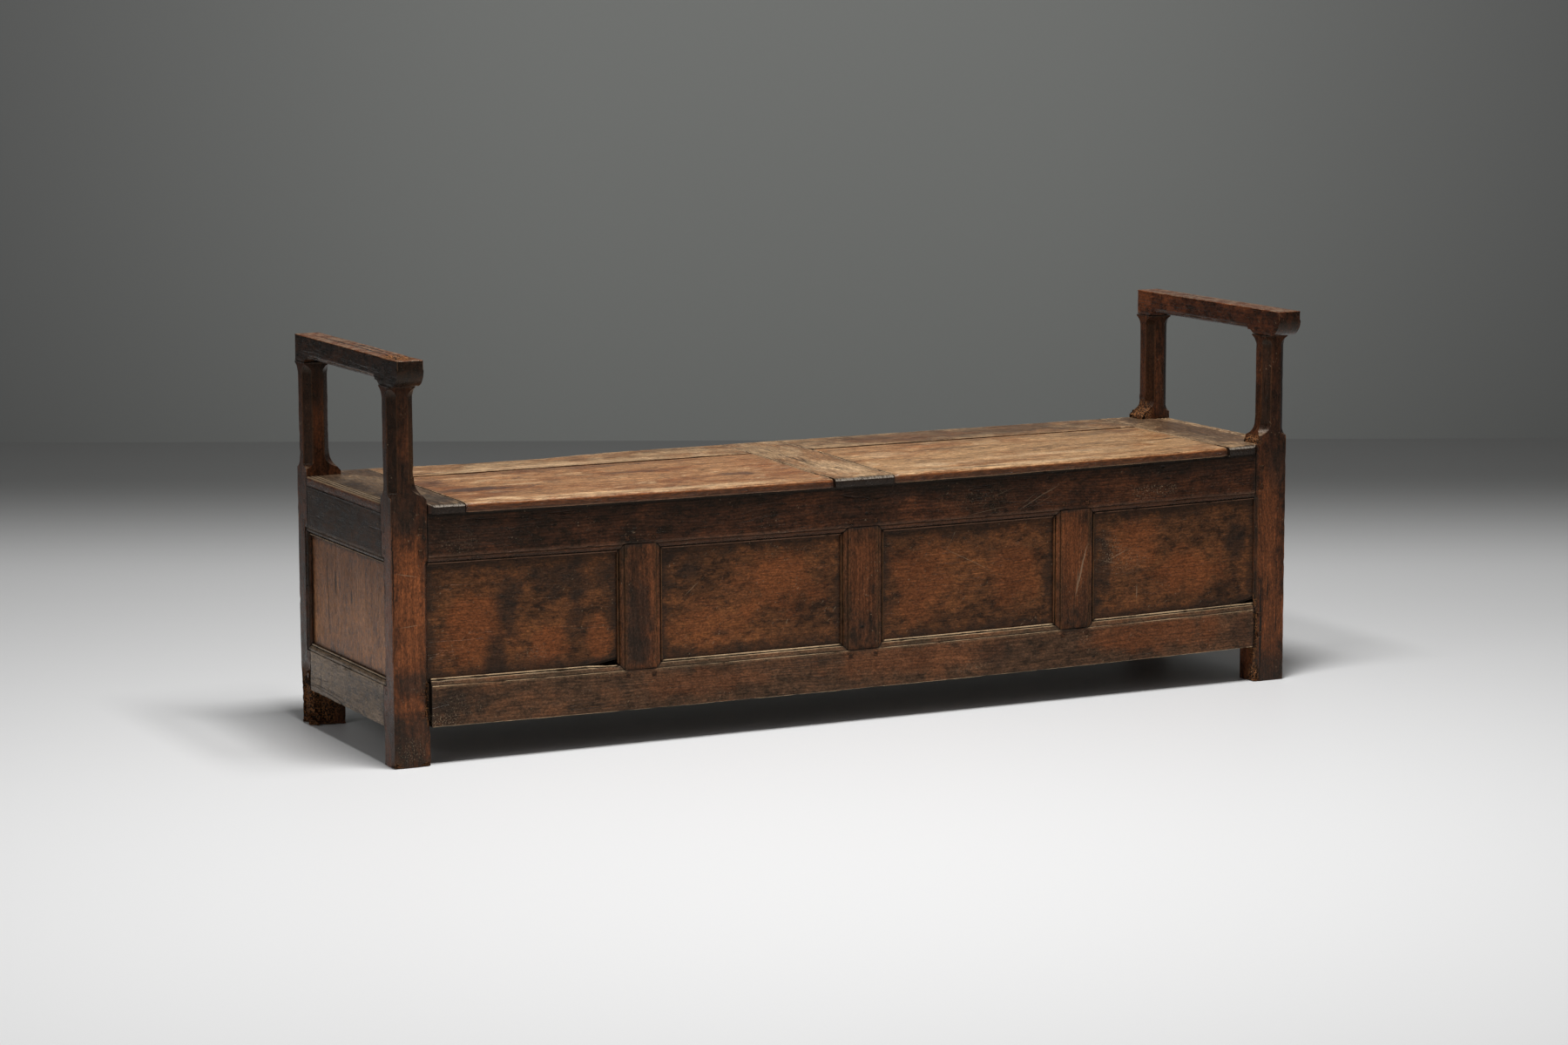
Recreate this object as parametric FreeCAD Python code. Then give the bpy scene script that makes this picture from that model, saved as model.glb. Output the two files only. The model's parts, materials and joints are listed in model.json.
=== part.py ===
import FreeCAD, Part
import math
import os
from FreeCAD import Rotation, Vector

# A long joined chest bench with open arms and two lifting seat lids.
# Millimetres, +Z up. The origin is the middle of the footprint, at floor level.
# X runs along the bench, the front faces -Y.

# Overall sizes
bench_length = 1940.0
frame_depth = 500.0
seat_height = 490.0
arm_height = 761.0
arm_nose = 46.0

# Posts
post_width = 72.0
post_depth = 52.0
shaft_width = 53.0
shaft_chamfer = 15.0
flare_height = 43.0
flare_lift = 7.0
flare_tip_radius = 5.0
chamfer_lift = 26.0
inner_chamfer_lift = 40.0
foot_scoop_radius = 12.0
flare_scoop_radius = 26.0
head_scoop_radius = 20.0
chamfer_drop = 21.0
edge_chamfer = 7.0
edge_scoop_radius = 10.0
arm_tenon_thickness = 14.0
arm_tenon_shoulder = 9.0
arm_tenon_height = 30.0

# Arms
arm_width = 52.0
arm_end_thickness = 52.0
arm_thickness = 45.0
arm_bracket_radius = 14.0
arm_nose_flat = 17.0
arm_chamfer = 7.0
arm_scoop_radius = 10.0
arm_chamfer_margin = 14.0
arm_edge_radius = 3.5

# Rails, muntins and their shared gauge settings
rail_thickness = 30.0
floor_clear_height = 72.5
bottom_rail_face = 77.5
top_rail_face = 81.0
muntin_face = 66.0
muntin_place_shares = (0.238, 0.501, 0.765)
panel_recess = 9.5
groove_width = 8.0
groove_depth = 9.0
rail_tenon_length = 45.0
end_tenon_length = 38.0
tenon_end_gap = 2.0
top_tenon_shoulder = 15.0
bottom_tenon_shoulder = 12.0
muntin_tenon_length = 40.0

# The moulding that is run on the inner edges of the framing
moulding_width = 14.0
bead_width = 3.4
bead_depth = 4.8
quirk_width = 1.0
quirk_depth = 7.0
ovolo_start_depth = 5.6
ovolo_end_depth = 1.6
fillet_width = 1.4
ovolo_mid_shares = (0.26, 0.68)

# Panels
panel_side_gap = 0.1
panel_edge_gap = 1.0
panel_field_thickness = 13.0
panel_feather = 30.0

# Seat boards and lids
board_thickness = 19.0
seat_overhang = 12.0
end_board_width = 143.0
centre_board_width = 128.0
back_board_depth = 142.4
board_notch_gap = 0.5
board_corner_clip = 10.0
board_edge_bevel = 2.0
tongue_thickness = 6.0
tongue_length = 9.0
tongue_gap = 0.5
wane_depth = 15.0
wane_start_share = 0.1
wane_end_share = 0.7
lid_side_gap = 1.5
lid_back_gap = 3.0
lid_nose_radius = 8.0
lid_under_radius = 4.0
pivot_radius = 4.0
pivot_clearance = 0.05
pivot_in_lid = 25.0
pivot_in_board = 20.0
pivot_end_gap = 0.5

# Chest floor
floor_thickness = 16.0
floor_board_count = 6
floor_board_gap = 1.0
floor_notch_gap = 1.0
bearer_size = 25.0
bearer_lift = 8.0

# Pegs, dowels and nails
peg_across = 8.5
peg_clearance = 0.05
peg_setback = 14.0
peg_edge = 11.0
peg_spacing = 40.0
muntin_peg_offset = 27.0
dowel_across = 10.0
dowel_in_board = 12.0
dowel_in_rail = 24.0
dowel_place_shares = (0.2, 0.8)
nail_length = 38.0
nail_shank = 5.0
nail_point = 1.6
nail_inset = 81.0

overrun = 20.0

# Planes that the pieces share
end_x = bench_length / 2
front_y = (arm_nose - frame_depth) / 2
back_y = front_y + frame_depth
inner_x = end_x - post_width
clear_length = 2 * inner_x
clear_depth = frame_depth - 2 * post_depth
board_under = seat_height - board_thickness
post_top = arm_height - arm_end_thickness
flare_foot = seat_height + flare_lift
bottom_face_top = floor_clear_height + bottom_rail_face
opening_low = bottom_face_top + moulding_width
top_face_low = board_under - top_rail_face
opening_high = top_face_low - moulding_width
muntin_width = muntin_face + 2 * moulding_width
tenon_back = panel_recess + groove_width
seat_front_y = front_y - seat_overhang
board_inner_x = end_x - end_board_width
centre_half = centre_board_width / 2
back_board_y = back_y - back_board_depth
lid_radius = board_thickness / 2
pivot_y = back_board_y - lid_back_gap - lid_radius
pivot_z = board_under + lid_radius
bearer_low = floor_clear_height + bearer_lift
floor_low = bearer_low + bearer_size


def box(x0, x1, y0, y1, z0, z1):
    """A box between two planes on each axis."""
    return Part.makeBox(x1 - x0, y1 - y0, z1 - z0, Vector(x0, y0, z0))


def joined(solids):
    """One solid from several that touch or overlap."""
    whole = solids[0].fuse(solids[1:]) if len(solids) > 1 else solids[0]
    return whole.removeSplitter()


def cut(solid, tools):
    """The solid less every tool."""
    return solid.cut(tools).removeSplitter() if tools else solid


def reaching(solid, tools):
    """The tools whose bounds meet a solid's."""
    return [tool for tool in tools if tool.BoundBox.intersect(solid.BoundBox)]


def outline(start, steps, place):
    """A face from a start point and steps, each the end of a line or the middle and end of an arc."""
    edges = []
    here = start
    for step in steps:
        if len(step) == 1:
            edges.append(Part.LineSegment(place(*here), place(*step[0])).toShape())
        else:
            edges.append(Part.Arc(place(*here), place(*step[0]), place(*step[1])).toShape())
        here = step[-1]
    if math.dist(here, start) > 0:
        edges.append(Part.LineSegment(place(*here), place(*start)).toShape())
    return Part.Face(Part.Wire(edges))


def frustum(base, top):
    """A solid with flat sides between two loops of as many corners."""
    count = len(base)
    loops = [base, top]
    for number in range(count):
        following = (number + 1) % count
        loops.append([base[number], base[following], top[following], top[number]])
    faces = [Part.Face(Part.makePolygon(loop + loop[:1])) for loop in loops]
    solid = Part.Solid(Part.Shell(faces))
    if solid.Volume < 0:
        solid.reverse()
    return solid


def polygon(points, place):
    """A flat face with straight sides."""
    corners = [place(*point) for point in points]
    return Part.Face(Part.makePolygon(corners + corners[:1]))


def arc_step(centre, radius, first, last):
    """An arc about a centre, between two angles, as the step of an outline."""
    middle = (first + last) / 2
    return tuple((centre[0] + radius * math.cos(turn), centre[1] + radius * math.sin(turn))
                 for turn in (middle, last))


def square(centre, width, along):
    """The corners of a square about a point, across an axis."""
    side = along.cross(Vector(0, 0, 1)) if abs(along.z) < 1 else Vector(1, 0, 0)
    up = along.cross(side)
    half = width / 2
    return [centre + side * (a * half) + up * (b * half) for a, b in ((-1, -1), (1, -1), (1, 1), (-1, 1))]


def square_pin(across, length, start, along):
    """A riven square pin that runs from a point along an axis."""
    return frustum(square(start, across, along), square(start + along * length, across, along))


def chamfer_tool(corner, inward, along, low, high, size, low_radius, high_radius, reach):
    """What a stopped chamfer takes off an edge, with a scoop at each end.

    The edge passes through corner and runs along one axis, and inward points from it into the wood,
    halfway between the two faces. reach is how far the wood may stand out past the edge.
    """
    depth = size / math.sqrt(2)
    across = along.cross(inward)

    def place(inset, height):
        return corner + inward * inset + along * height

    outer = -reach - overrun
    low_turn = scoop_turn(low_radius, depth, reach)
    high_turn = scoop_turn(high_radius, depth, reach)
    low_centre = (depth - low_radius, low)
    low_start = (depth - low_radius + low_radius * math.cos(low_turn), low - low_radius * math.sin(low_turn))
    low_arc = arc_step(low_centre, low_radius, -low_turn, 0)
    high_arc = arc_step((depth - high_radius, high), high_radius, 0, high_turn)
    steps = [low_arc, ((depth, high),), high_arc, ((outer, high_arc[1][1]),), ((outer, low_start[1]),)]
    face = outline(low_start, steps, place)
    half = reach + depth + overrun
    face.translate(across * -half)
    return face.extrude(across * (2 * half))


def scoop_turn(radius, depth, reach):
    """How far round a scoop's arc goes before it has left the wood."""
    return math.acos(max(radius - depth - reach, 0) / radius)


# The framing. Each frame is built with its outer face on the plane y = 0, facing -Y, and its
# middle on x = 0, and is then turned and moved to its side of the bench.

def moulding_steps(flip):
    """The moulding from the opening's edge to the face, as steps in (height into the wood, depth)."""
    ovolo_start = bead_width + quirk_width
    ovolo_end = moulding_width - fillet_width
    run = ovolo_end - ovolo_start
    rise = ovolo_start_depth - ovolo_end_depth
    middle = (ovolo_start + run * ovolo_mid_shares[0], ovolo_start_depth - rise * ovolo_mid_shares[1])
    steps = [
        ((0, bead_depth),),
        ((bead_width, bead_depth),),
        ((bead_width, quirk_depth),),
        ((ovolo_start, quirk_depth),),
        ((ovolo_start, ovolo_start_depth),),
        (middle, (ovolo_end, ovolo_end_depth)),
        ((moulding_width, ovolo_end_depth),),
        ((moulding_width, 0),),
    ]
    return [tuple((flip * high, deep) for high, deep in step) for step in steps]


def moulding_waste(edge, inward, place_edge):
    """The face of what the moulding removes at one edge of a member."""
    steps = moulding_steps(inward)
    steps = [tuple((edge + high, deep) for high, deep in step) for step in steps]
    outside = edge - inward * overrun
    steps.append(((edge + inward * moulding_width, -overrun),))
    steps.append(((outside, -overrun),))
    steps.append(((outside, panel_recess),))
    return outline((edge, panel_recess), steps, place_edge)


def rail_groove(half_length, edge, inward):
    """The panel groove along a rail's inner edge."""
    ends = sorted((edge - inward * overrun, edge + inward * groove_depth))
    return box(-half_length - overrun, half_length + overrun, panel_recess, tenon_back, ends[0], ends[1])


def rail_moulding(half_length, edge, inward):
    """What the moulding plane takes off a rail's inner edge."""
    face = moulding_waste(edge, inward, lambda high, deep: Vector(-half_length - overrun, deep, high))
    return face.extrude(Vector(2 * (half_length + overrun), 0, 0))


def mitre_region(centre, edge, inward, half_inner, half_edge):
    """A piece of a rail's moulded strip with mitred ends: its half lengths are inside and at the edge."""
    inner = edge + inward * moulding_width
    points = [
        (centre - half_inner, inner),
        (centre + half_inner, inner),
        (centre + half_edge, edge),
        (centre - half_edge, edge),
    ]
    face = polygon(points, lambda x, z: Vector(x, 0, z))
    return face.extrude(Vector(0, panel_recess, 0))


def muntin_places():
    """The middles of the three muntins, from the middle of the frame."""
    return [clear_length * (share - 1 / 2) for share in muntin_place_shares]


def tenon_span(upper):
    """The lowest and highest level of a rail's tenon."""
    if upper:
        return opening_high + groove_depth, board_under - top_tenon_shoulder
    return floor_clear_height + bottom_tenon_shoulder, opening_low - groove_depth


def peg_levels(upper):
    """The levels of the two pegs that hold a rail's tenon in a post."""
    if upper:
        return top_face_low + peg_edge, top_face_low + peg_edge + peg_spacing
    return bottom_face_top - peg_edge, bottom_face_top - peg_edge - peg_spacing


def peg(x, z, length, clearance):
    """A peg driven in from the outer face, or the hole for it."""
    return square_pin(peg_across + 2 * clearance, length, Vector(x, 0, z), Vector(0, 1, 0))


def post_peg_places(half_length):
    """Where pegs pass through the posts beside one frame."""
    levels = [level for upper in (False, True) for level in peg_levels(upper)]
    return [(side * (half_length + peg_setback), level) for side in (-1, 1) for level in levels]


def muntin_peg_places():
    """Where pegs pass through the rails and the muntins' tenons."""
    levels = (bottom_face_top - peg_edge, top_face_low + peg_edge)
    sides = (-muntin_peg_offset, muntin_peg_offset)
    return [(middle + side, level) for middle in muntin_places() for side in sides for level in levels]


def rail(upper, half_length, tenon_length, moulded, muntins, mitred):
    """A rail of one frame, with its tenons, groove, moulding and the mortises for muntins."""
    low = opening_high if upper else floor_clear_height
    high = board_under if upper else opening_low
    edge = low if upper else high
    inward = 1 if upper else -1
    wood = box(-half_length, half_length, 0, rail_thickness, low, high)
    if mitred:
        wood = joined([wood, mitre_region(0, edge, inward, half_length + moulding_width, half_length)])
    tools = [rail_groove(half_length, edge, inward)]
    if moulded:
        tools.append(rail_moulding(half_length + moulding_width, edge, inward))
    if muntins:
        tools += [muntin_seat(middle, edge, inward, moulded) for middle in muntin_places()]
    wood = cut(wood, tools)
    span = tenon_span(upper)
    reach = half_length + tenon_length
    for side in (-1, 1):
        ends = sorted((side * half_length, side * reach))
        wood = joined([wood, box(ends[0], ends[1], panel_recess, tenon_back, span[0], span[1])])
    return cut(wood, reaching(wood, frame_pegs(half_length, muntins, overrun, peg_clearance)))


def muntin_seat(middle, edge, inward, moulded):
    """The mortise for a muntin in a rail and, on a moulded rail, the mitred place for its face."""
    half = muntin_width / 2 - groove_depth
    reach = edge + inward * (muntin_tenon_length + tenon_end_gap)
    ends = sorted((edge, reach))
    mortise = box(middle - half, middle + half, panel_recess, tenon_back, ends[0], ends[1])
    if not moulded:
        return mortise
    return joined([mortise, mitre_region(middle, edge, inward, muntin_face / 2, muntin_width / 2)])


def muntin(middle, moulded):
    """An upright between the rails, grooved on both sides and tenoned at both ends."""
    half = muntin_width / 2
    wood = box(-half, half, 0, rail_thickness, opening_low, opening_high)
    grooves = []
    for side in (-1, 1):
        ends = sorted((side * (half - groove_depth), side * (half + overrun)))
        grooves.append(box(ends[0], ends[1], panel_recess, tenon_back, opening_low, opening_high))
    if moulded:
        wood = joined([wood] + [
            mitre_region(0, opening_high, 1, muntin_face / 2, half),
            mitre_region(0, opening_low, -1, muntin_face / 2, half),
        ])
        for side in (-1, 1):
            waste = moulding_waste(
                side * half, -side, lambda wide, deep: Vector(wide, deep, bottom_face_top)
            )
            grooves.append(waste.extrude(Vector(0, 0, top_face_low - bottom_face_top)))
    wood = cut(wood, grooves)
    tenon_half = half - groove_depth
    for low, high in (
            (opening_high, opening_high + muntin_tenon_length),
            (opening_low - muntin_tenon_length, opening_low)):
        wood = joined([wood, box(-tenon_half, tenon_half, panel_recess, tenon_back, low, high)])
    wood.translate(Vector(middle, 0, 0))
    return cut(wood, reaching(wood, frame_pegs(clear_length / 2, True, overrun, peg_clearance)))


def panel(left, right):
    """A panel that floats in the grooves, flat outside and feathered inside."""
    reach = groove_depth - panel_edge_gap
    front = panel_recess + panel_side_gap
    thin = tenon_back - panel_side_gap
    back = front + panel_field_thickness
    sheet = box(left - reach, right + reach, front, thin, opening_low - reach, opening_high + reach)
    loops = []
    for depth, margin in ((thin, 0), (back, panel_feather)):
        x0 = left + margin
        x1 = right - margin
        z0 = opening_low + margin
        z1 = opening_high - margin
        loops.append([Vector(x, depth, z) for x, z in ((x0, z0), (x1, z0), (x1, z1), (x0, z1))])
    return joined([sheet, frustum(loops[0], loops[1])])


def openings_between(half_length, muntins):
    """The clear widths that panels fill in one frame."""
    edges = [-half_length]
    if muntins:
        for middle in muntin_places():
            edges += [middle - muntin_width / 2, middle + muntin_width / 2]
    edges.append(half_length)
    return list(zip(edges[0::2], edges[1::2]))


def frame_pegs(half_length, muntins, extra, clearance):
    """All the pegs of one frame, or the holes for them."""
    places = post_peg_places(half_length) + (muntin_peg_places() if muntins else [])
    return [peg(x, z, rail_thickness + extra, clearance) for x, z in places]


def to_front(shape):
    """Puts what was built on the plane y = 0 in the front frame."""
    placed = shape.copy()
    placed.translate(Vector(0, front_y, 0))
    return placed


def to_back(shape):
    """Puts what was built on the plane y = 0 in the back frame."""
    placed = shape.copy()
    placed.rotate(Vector(0, 0, 0), Vector(0, 0, 1), 180)
    placed.translate(Vector(0, back_y, 0))
    return placed


def to_end(shape, side):
    """Puts what was built on the plane y = 0 in the left (-1) or right (1) end frame."""
    placed = shape.copy()
    placed.rotate(Vector(0, 0, 0), Vector(0, 0, 1), side * 90)
    placed.translate(Vector(side * end_x, (front_y + back_y) / 2, 0))
    return placed


# The posts

def post_body():
    """The front left post in its own corner: outer face on x = 0, front face on y = 0."""
    flare = post_width - shaft_width
    flare_top = flare_foot + flare_height
    radius = (flare ** 2 + flare_height ** 2) / (2 * flare)
    centre = (shaft_width + radius, flare_top)
    foot_turn = math.pi + math.asin(flare_height / radius)
    steps = [
        ((post_width, 0),),
        ((post_width, flare_foot),),
        arc_step(centre, radius, foot_turn, math.pi),
        ((shaft_width, post_top),),
        ((0, post_top),),
    ]
    wood = outline((0, 0), steps, lambda x, z: Vector(x, 0, z)).extrude(Vector(0, post_depth, 0))
    tip = [
        edge for edge in wood.Edges
        if abs(edge.CenterOfMass.x - post_width) < flare_tip_radius / 2
        and abs(edge.CenterOfMass.z - flare_foot) < flare_tip_radius / 2
    ]
    return wood.makeFillet(flare_tip_radius, tip)


def post_chamfers():
    """What the octagonal shaft's chamfers remove."""
    diagonal = 1 / math.sqrt(2)
    up = Vector(0, 0, 1)
    flare = post_width - shaft_width
    low = seat_height + chamfer_lift
    inner_low = seat_height + inner_chamfer_lift
    high = post_top - chamfer_drop
    tools = []
    for y, toward in ((0, 1), (post_depth, -1)):
        tools.append(chamfer_tool(
            Vector(0, y, 0), Vector(diagonal, toward * diagonal, 0), up,
            low, high, shaft_chamfer, foot_scoop_radius, head_scoop_radius, 0))
        tools.append(chamfer_tool(
            Vector(shaft_width, y, 0), Vector(-diagonal, toward * diagonal, 0), up,
            inner_low, high, shaft_chamfer, flare_scoop_radius, head_scoop_radius, flare * diagonal))
    return tools


def post_edge_chamfer():
    """The stopped chamfer beside the long frame's panel."""
    diagonal = 1 / math.sqrt(2)
    return chamfer_tool(
        Vector(post_width, 0, 0), Vector(-diagonal, diagonal, 0), Vector(0, 0, 1),
        opening_low, opening_high, edge_chamfer, edge_scoop_radius, edge_scoop_radius, 0)


def post_end_moulding():
    """The moulding beside the end panel, with mitres for the rails' mouldings."""
    def place(wide, deep):
        return Vector(deep, wide, 0)

    waste = moulding_waste(post_depth, -1, place)
    run = waste.extrude(Vector(0, 0, top_face_low))
    keep = [
        (post_depth + overrun, opening_low + overrun),
        (post_depth + overrun, opening_high - overrun),
        (post_depth - moulding_width, top_face_low),
        (post_depth - moulding_width, bottom_face_top),
    ]
    mitred = polygon(keep, lambda y, z: Vector(-overrun, y, z)).extrude(
        Vector(overrun + panel_recess, 0, 0))
    tools = [run.common(mitred)]
    for edge, inward in ((opening_high, 1), (opening_low, -1)):
        corner = [
            (post_depth, edge),
            (post_depth, edge + inward * moulding_width),
            (post_depth - moulding_width, edge + inward * moulding_width),
        ]
        tools.append(polygon(corner, lambda y, z: Vector(0, y, z)).extrude(Vector(panel_recess, 0, 0)))
    return tools


def post_joints():
    """The grooves, mortises and peg holes in the front left post."""
    tools = [
        box(post_width - groove_depth, post_width, panel_recess, tenon_back,
            opening_low - groove_depth, opening_high + groove_depth),
        box(panel_recess, tenon_back, post_depth - groove_depth, post_depth,
            opening_low - groove_depth, opening_high + groove_depth),
    ]
    for upper in (False, True):
        low, high = tenon_span(upper)
        tools.append(box(post_width - rail_tenon_length - tenon_end_gap, post_width,
                         panel_recess, tenon_back, low, high))
        tools.append(box(panel_recess, tenon_back,
                         post_depth - end_tenon_length - tenon_end_gap, post_depth, low, high))
        for level in peg_levels(upper):
            front_hole = peg(post_width - peg_setback, level, rail_thickness, peg_clearance)
            end_hole = peg(0, level, rail_thickness, peg_clearance)
            end_hole.rotate(Vector(0, 0, 0), Vector(0, 0, 1), -90)
            end_hole.translate(Vector(0, post_depth - peg_setback, 0))
            tools += [front_hole, end_hole]
    return tools


def arm_tenon(clearance):
    """The tenon on the head of the front left post, or the mortise for it."""
    middle = shaft_width / 2
    half = arm_tenon_thickness / 2
    return box(middle - half, middle + half, arm_tenon_shoulder, post_depth - arm_tenon_shoulder,
               post_top, post_top + arm_tenon_height + clearance)


def post():
    """The whole front left post in its own corner."""
    wood = cut(post_body(), post_chamfers())
    wood = cut(wood, [post_edge_chamfer()] + post_end_moulding())
    wood = cut(wood, post_joints())
    return joined([wood, arm_tenon(0)])


def to_corner(shape, side, back):
    """Puts what was built in the front left corner in one of the four corners."""
    placed = shape.copy()
    placed.translate(Vector(-end_x, front_y, 0))
    if side > 0:
        placed = placed.mirror(Vector(0, 0, 0), Vector(1, 0, 0))
    if back:
        placed = placed.mirror(Vector(0, (front_y + back_y) / 2, 0), Vector(0, 1, 0))
    return placed


# The arms

def arm():
    """The left arm, with its outer face on x = 0 and the posts' front on y = 0."""
    under = arm_height - arm_thickness
    drop = arm_end_thickness - arm_thickness
    turn = math.acos(1 - drop / arm_bracket_radius)
    run = arm_bracket_radius * math.sin(turn)
    nose_low = arm_height - arm_nose_flat
    nose_radius = nose_low - post_top
    back_bracket = frame_depth - post_depth - run
    front_bracket = post_depth + run
    centre_low = under - arm_bracket_radius
    half_turn = turn / 2
    rise = arm_bracket_radius * math.cos(half_turn)
    level = arm_bracket_radius * math.sin(half_turn)
    steps = [
        ((-arm_nose, nose_low),),
        arc_step((nose_radius - arm_nose, nose_low), nose_radius, math.pi, 3 * math.pi / 2),
        ((post_depth, post_top),),
        ((front_bracket - level, centre_low + rise), (front_bracket, under)),
        ((back_bracket, under),),
        ((back_bracket + level, centre_low + rise), (frame_depth - post_depth, post_top)),
        ((frame_depth, post_top),),
        ((frame_depth, arm_height),),
    ]
    wood = outline((-arm_nose, arm_height), steps, lambda y, z: Vector(0, y, z))
    wood = wood.extrude(Vector(arm_width, 0, 0))
    top = [
        edge for edge in wood.Edges
        if abs(edge.CenterOfMass.z - arm_height) < arm_edge_radius / 2
    ]
    wood = wood.makeFillet(arm_edge_radius, top)
    diagonal = 1 / math.sqrt(2)
    low = front_bracket + arm_chamfer_margin
    high = back_bracket - arm_chamfer_margin
    tools = []
    for x, toward in ((0, 1), (arm_width, -1)):
        tools.append(chamfer_tool(
            Vector(x, 0, under), Vector(toward * diagonal, 0, diagonal), Vector(0, 1, 0),
            low, high, arm_chamfer, arm_scoop_radius, arm_scoop_radius, 0))
    for back in (False, True):
        mortise = arm_tenon(tenon_end_gap)
        if back:
            mortise.translate(Vector(0, frame_depth - post_depth, 0))
        tools.append(mortise)
    return cut(wood, tools)


# The seat

def bevel_edges(wood, size, wanted):
    """Bevels the edges that a test picks."""
    return wood.makeChamfer(size, [edge for edge in wood.Edges if wanted(edge)])


def pivot(start, stop, radius):
    """A round pin along the hinge line, or the bore for it."""
    return Part.makeCylinder(radius, stop - start, Vector(start, pivot_y, pivot_z), Vector(1, 0, 0))


def pivot_bore(seam_x, side):
    """The running bore in a fixed board, which opens towards a lid on the side given."""
    deep = pivot_in_board + pivot_end_gap
    ends = sorted((seam_x, seam_x - side * deep))
    return pivot(ends[0], ends[1], pivot_radius + pivot_clearance)


def tongue_groove(seam_x, side):
    """The groove in a fixed board that takes a back board's tongue."""
    ends = sorted((seam_x, seam_x - side * (tongue_length + tongue_gap)))
    middle = board_under + board_thickness / 2
    half = tongue_thickness / 2
    return box(ends[0], ends[1], back_board_y, back_y, middle - half, middle + half)


def dowels(clearance):
    """The hidden dowels that stand in the rails and end inside the fixed seat boards, or their holes."""
    end_line = end_x - rail_thickness / 2
    front_line = front_y + rail_thickness / 2
    back_line = back_y - rail_thickness / 2
    middle_y = (front_y + back_y) / 2
    span = board_inner_x - centre_half
    places = [(0, front_line), (0, back_line)]
    for side in (-1, 1):
        places += [(side * end_line, middle_y + step * clear_depth / 4) for step in (-1, 1)]
        places += [(side * (centre_half + span * share), back_line) for share in dowel_place_shares]
    low = board_under - dowel_in_rail
    length = dowel_in_rail + dowel_in_board
    across = dowel_across + 2 * clearance
    return [square_pin(across, length, Vector(x, y, low), Vector(0, 0, 1)) for x, y in places]


def seat_end_board():
    """The left end board of the seat, notched round both posts."""
    notch_x = -inner_x + board_notch_gap
    wood = box(-end_x, -board_inner_x, seat_front_y, back_y, board_under, seat_height)
    front_notch = front_y + post_depth + board_notch_gap
    back_notch = back_y - post_depth - board_notch_gap
    low = board_under - overrun
    high = seat_height + overrun
    tools = [
        box(-end_x - overrun, notch_x, seat_front_y - overrun, front_notch, low, high),
        box(-end_x - overrun, notch_x, back_notch, back_y + overrun, low, high),
    ]
    clip = [
        (notch_x, seat_front_y - overrun),
        (notch_x + board_corner_clip, seat_front_y - overrun),
        (notch_x + board_corner_clip, seat_front_y),
        (notch_x, seat_front_y + seat_overhang),
    ]
    face = polygon(clip, lambda x, y: Vector(x, y, low))
    tools.append(face.extrude(Vector(0, 0, high - low)))
    wood = cut(wood, tools)
    wood = bevel_edges(wood, board_edge_bevel, lambda edge: (
        edge.CenterOfMass.z > seat_height - board_edge_bevel / 2
        and (abs(edge.CenterOfMass.y - seat_front_y) < board_edge_bevel / 2
             or abs(edge.CenterOfMass.x + end_x) < board_edge_bevel / 2)))
    tools = [pivot_bore(-board_inner_x, 1), tongue_groove(-board_inner_x, 1)]
    return cut(wood, tools + reaching(wood, dowels(peg_clearance)))


def seat_centre_board():
    """The fixed board across the middle of the seat."""
    wood = box(-centre_half, centre_half, seat_front_y, back_y, board_under, seat_height)
    wood = bevel_edges(wood, board_edge_bevel, lambda edge: (
        edge.CenterOfMass.z > seat_height - board_edge_bevel / 2
        and abs(edge.CenterOfMass.y - seat_front_y) < board_edge_bevel / 2))
    tools = [
        pivot_bore(-centre_half, -1), pivot_bore(centre_half, 1),
        tongue_groove(-centre_half, -1), tongue_groove(centre_half, 1),
    ]
    return cut(wood, tools + reaching(wood, dowels(peg_clearance)))


def back_seat_board(side):
    """The fixed board behind one lid, with a tongue at each end."""
    ends = sorted((side * centre_half, side * board_inner_x))
    wood = box(ends[0], ends[1], back_board_y, back_y, board_under, seat_height)
    middle = board_under + board_thickness / 2
    half = tongue_thickness / 2
    tongue = box(ends[0] - tongue_length, ends[1] + tongue_length,
                 back_board_y, back_y, middle - half, middle + half)
    wood = joined([wood, tongue])
    tools = reaching(wood, dowels(peg_clearance))
    if side < 0:
        tools.append(wane(ends[0], ends[1]))
    return cut(wood, tools)


def wane(left, right):
    """The shallow hollow where the left back board was sawn past the edge of its plank."""
    span = right - left
    start = left + span * wane_start_share
    end = left + span * wane_end_share
    middle = ((start + end) / 2, back_y - wane_depth)
    steps = [(middle, (end, back_y)), ((end, back_y + overrun),), ((start, back_y + overrun),)]
    face = outline((start, back_y), steps, lambda x, y: Vector(x, y, board_under - overrun))
    return face.extrude(Vector(0, 0, board_thickness + 2 * overrun))


def lid(side):
    """A lifting lid: its back edge is round about the hinge line, and its front edge is rounded."""
    near = centre_half + lid_side_gap
    far = board_inner_x - lid_side_gap
    start = side * near if side > 0 else side * far
    top_centre = (seat_front_y + lid_nose_radius, seat_height - lid_nose_radius)
    low_centre = (seat_front_y + lid_under_radius, board_under + lid_under_radius)
    steps = [
        arc_step((pivot_y, pivot_z), lid_radius, math.pi / 2, -math.pi / 2),
        ((low_centre[0], board_under),),
        arc_step(low_centre, lid_under_radius, 3 * math.pi / 2, math.pi),
        ((seat_front_y, top_centre[1]),),
        arc_step(top_centre, lid_nose_radius, math.pi, math.pi / 2),
    ]
    face = outline((pivot_y, seat_height), steps, lambda y, z: Vector(start, y, z))
    wood = face.extrude(Vector(far - near, 0, 0))
    stop = start + far - near
    ends = ((start, start + pivot_in_lid), (stop - pivot_in_lid, stop))
    return cut(wood, [pivot(end[0], end[1], pivot_radius) for end in ends])


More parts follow.
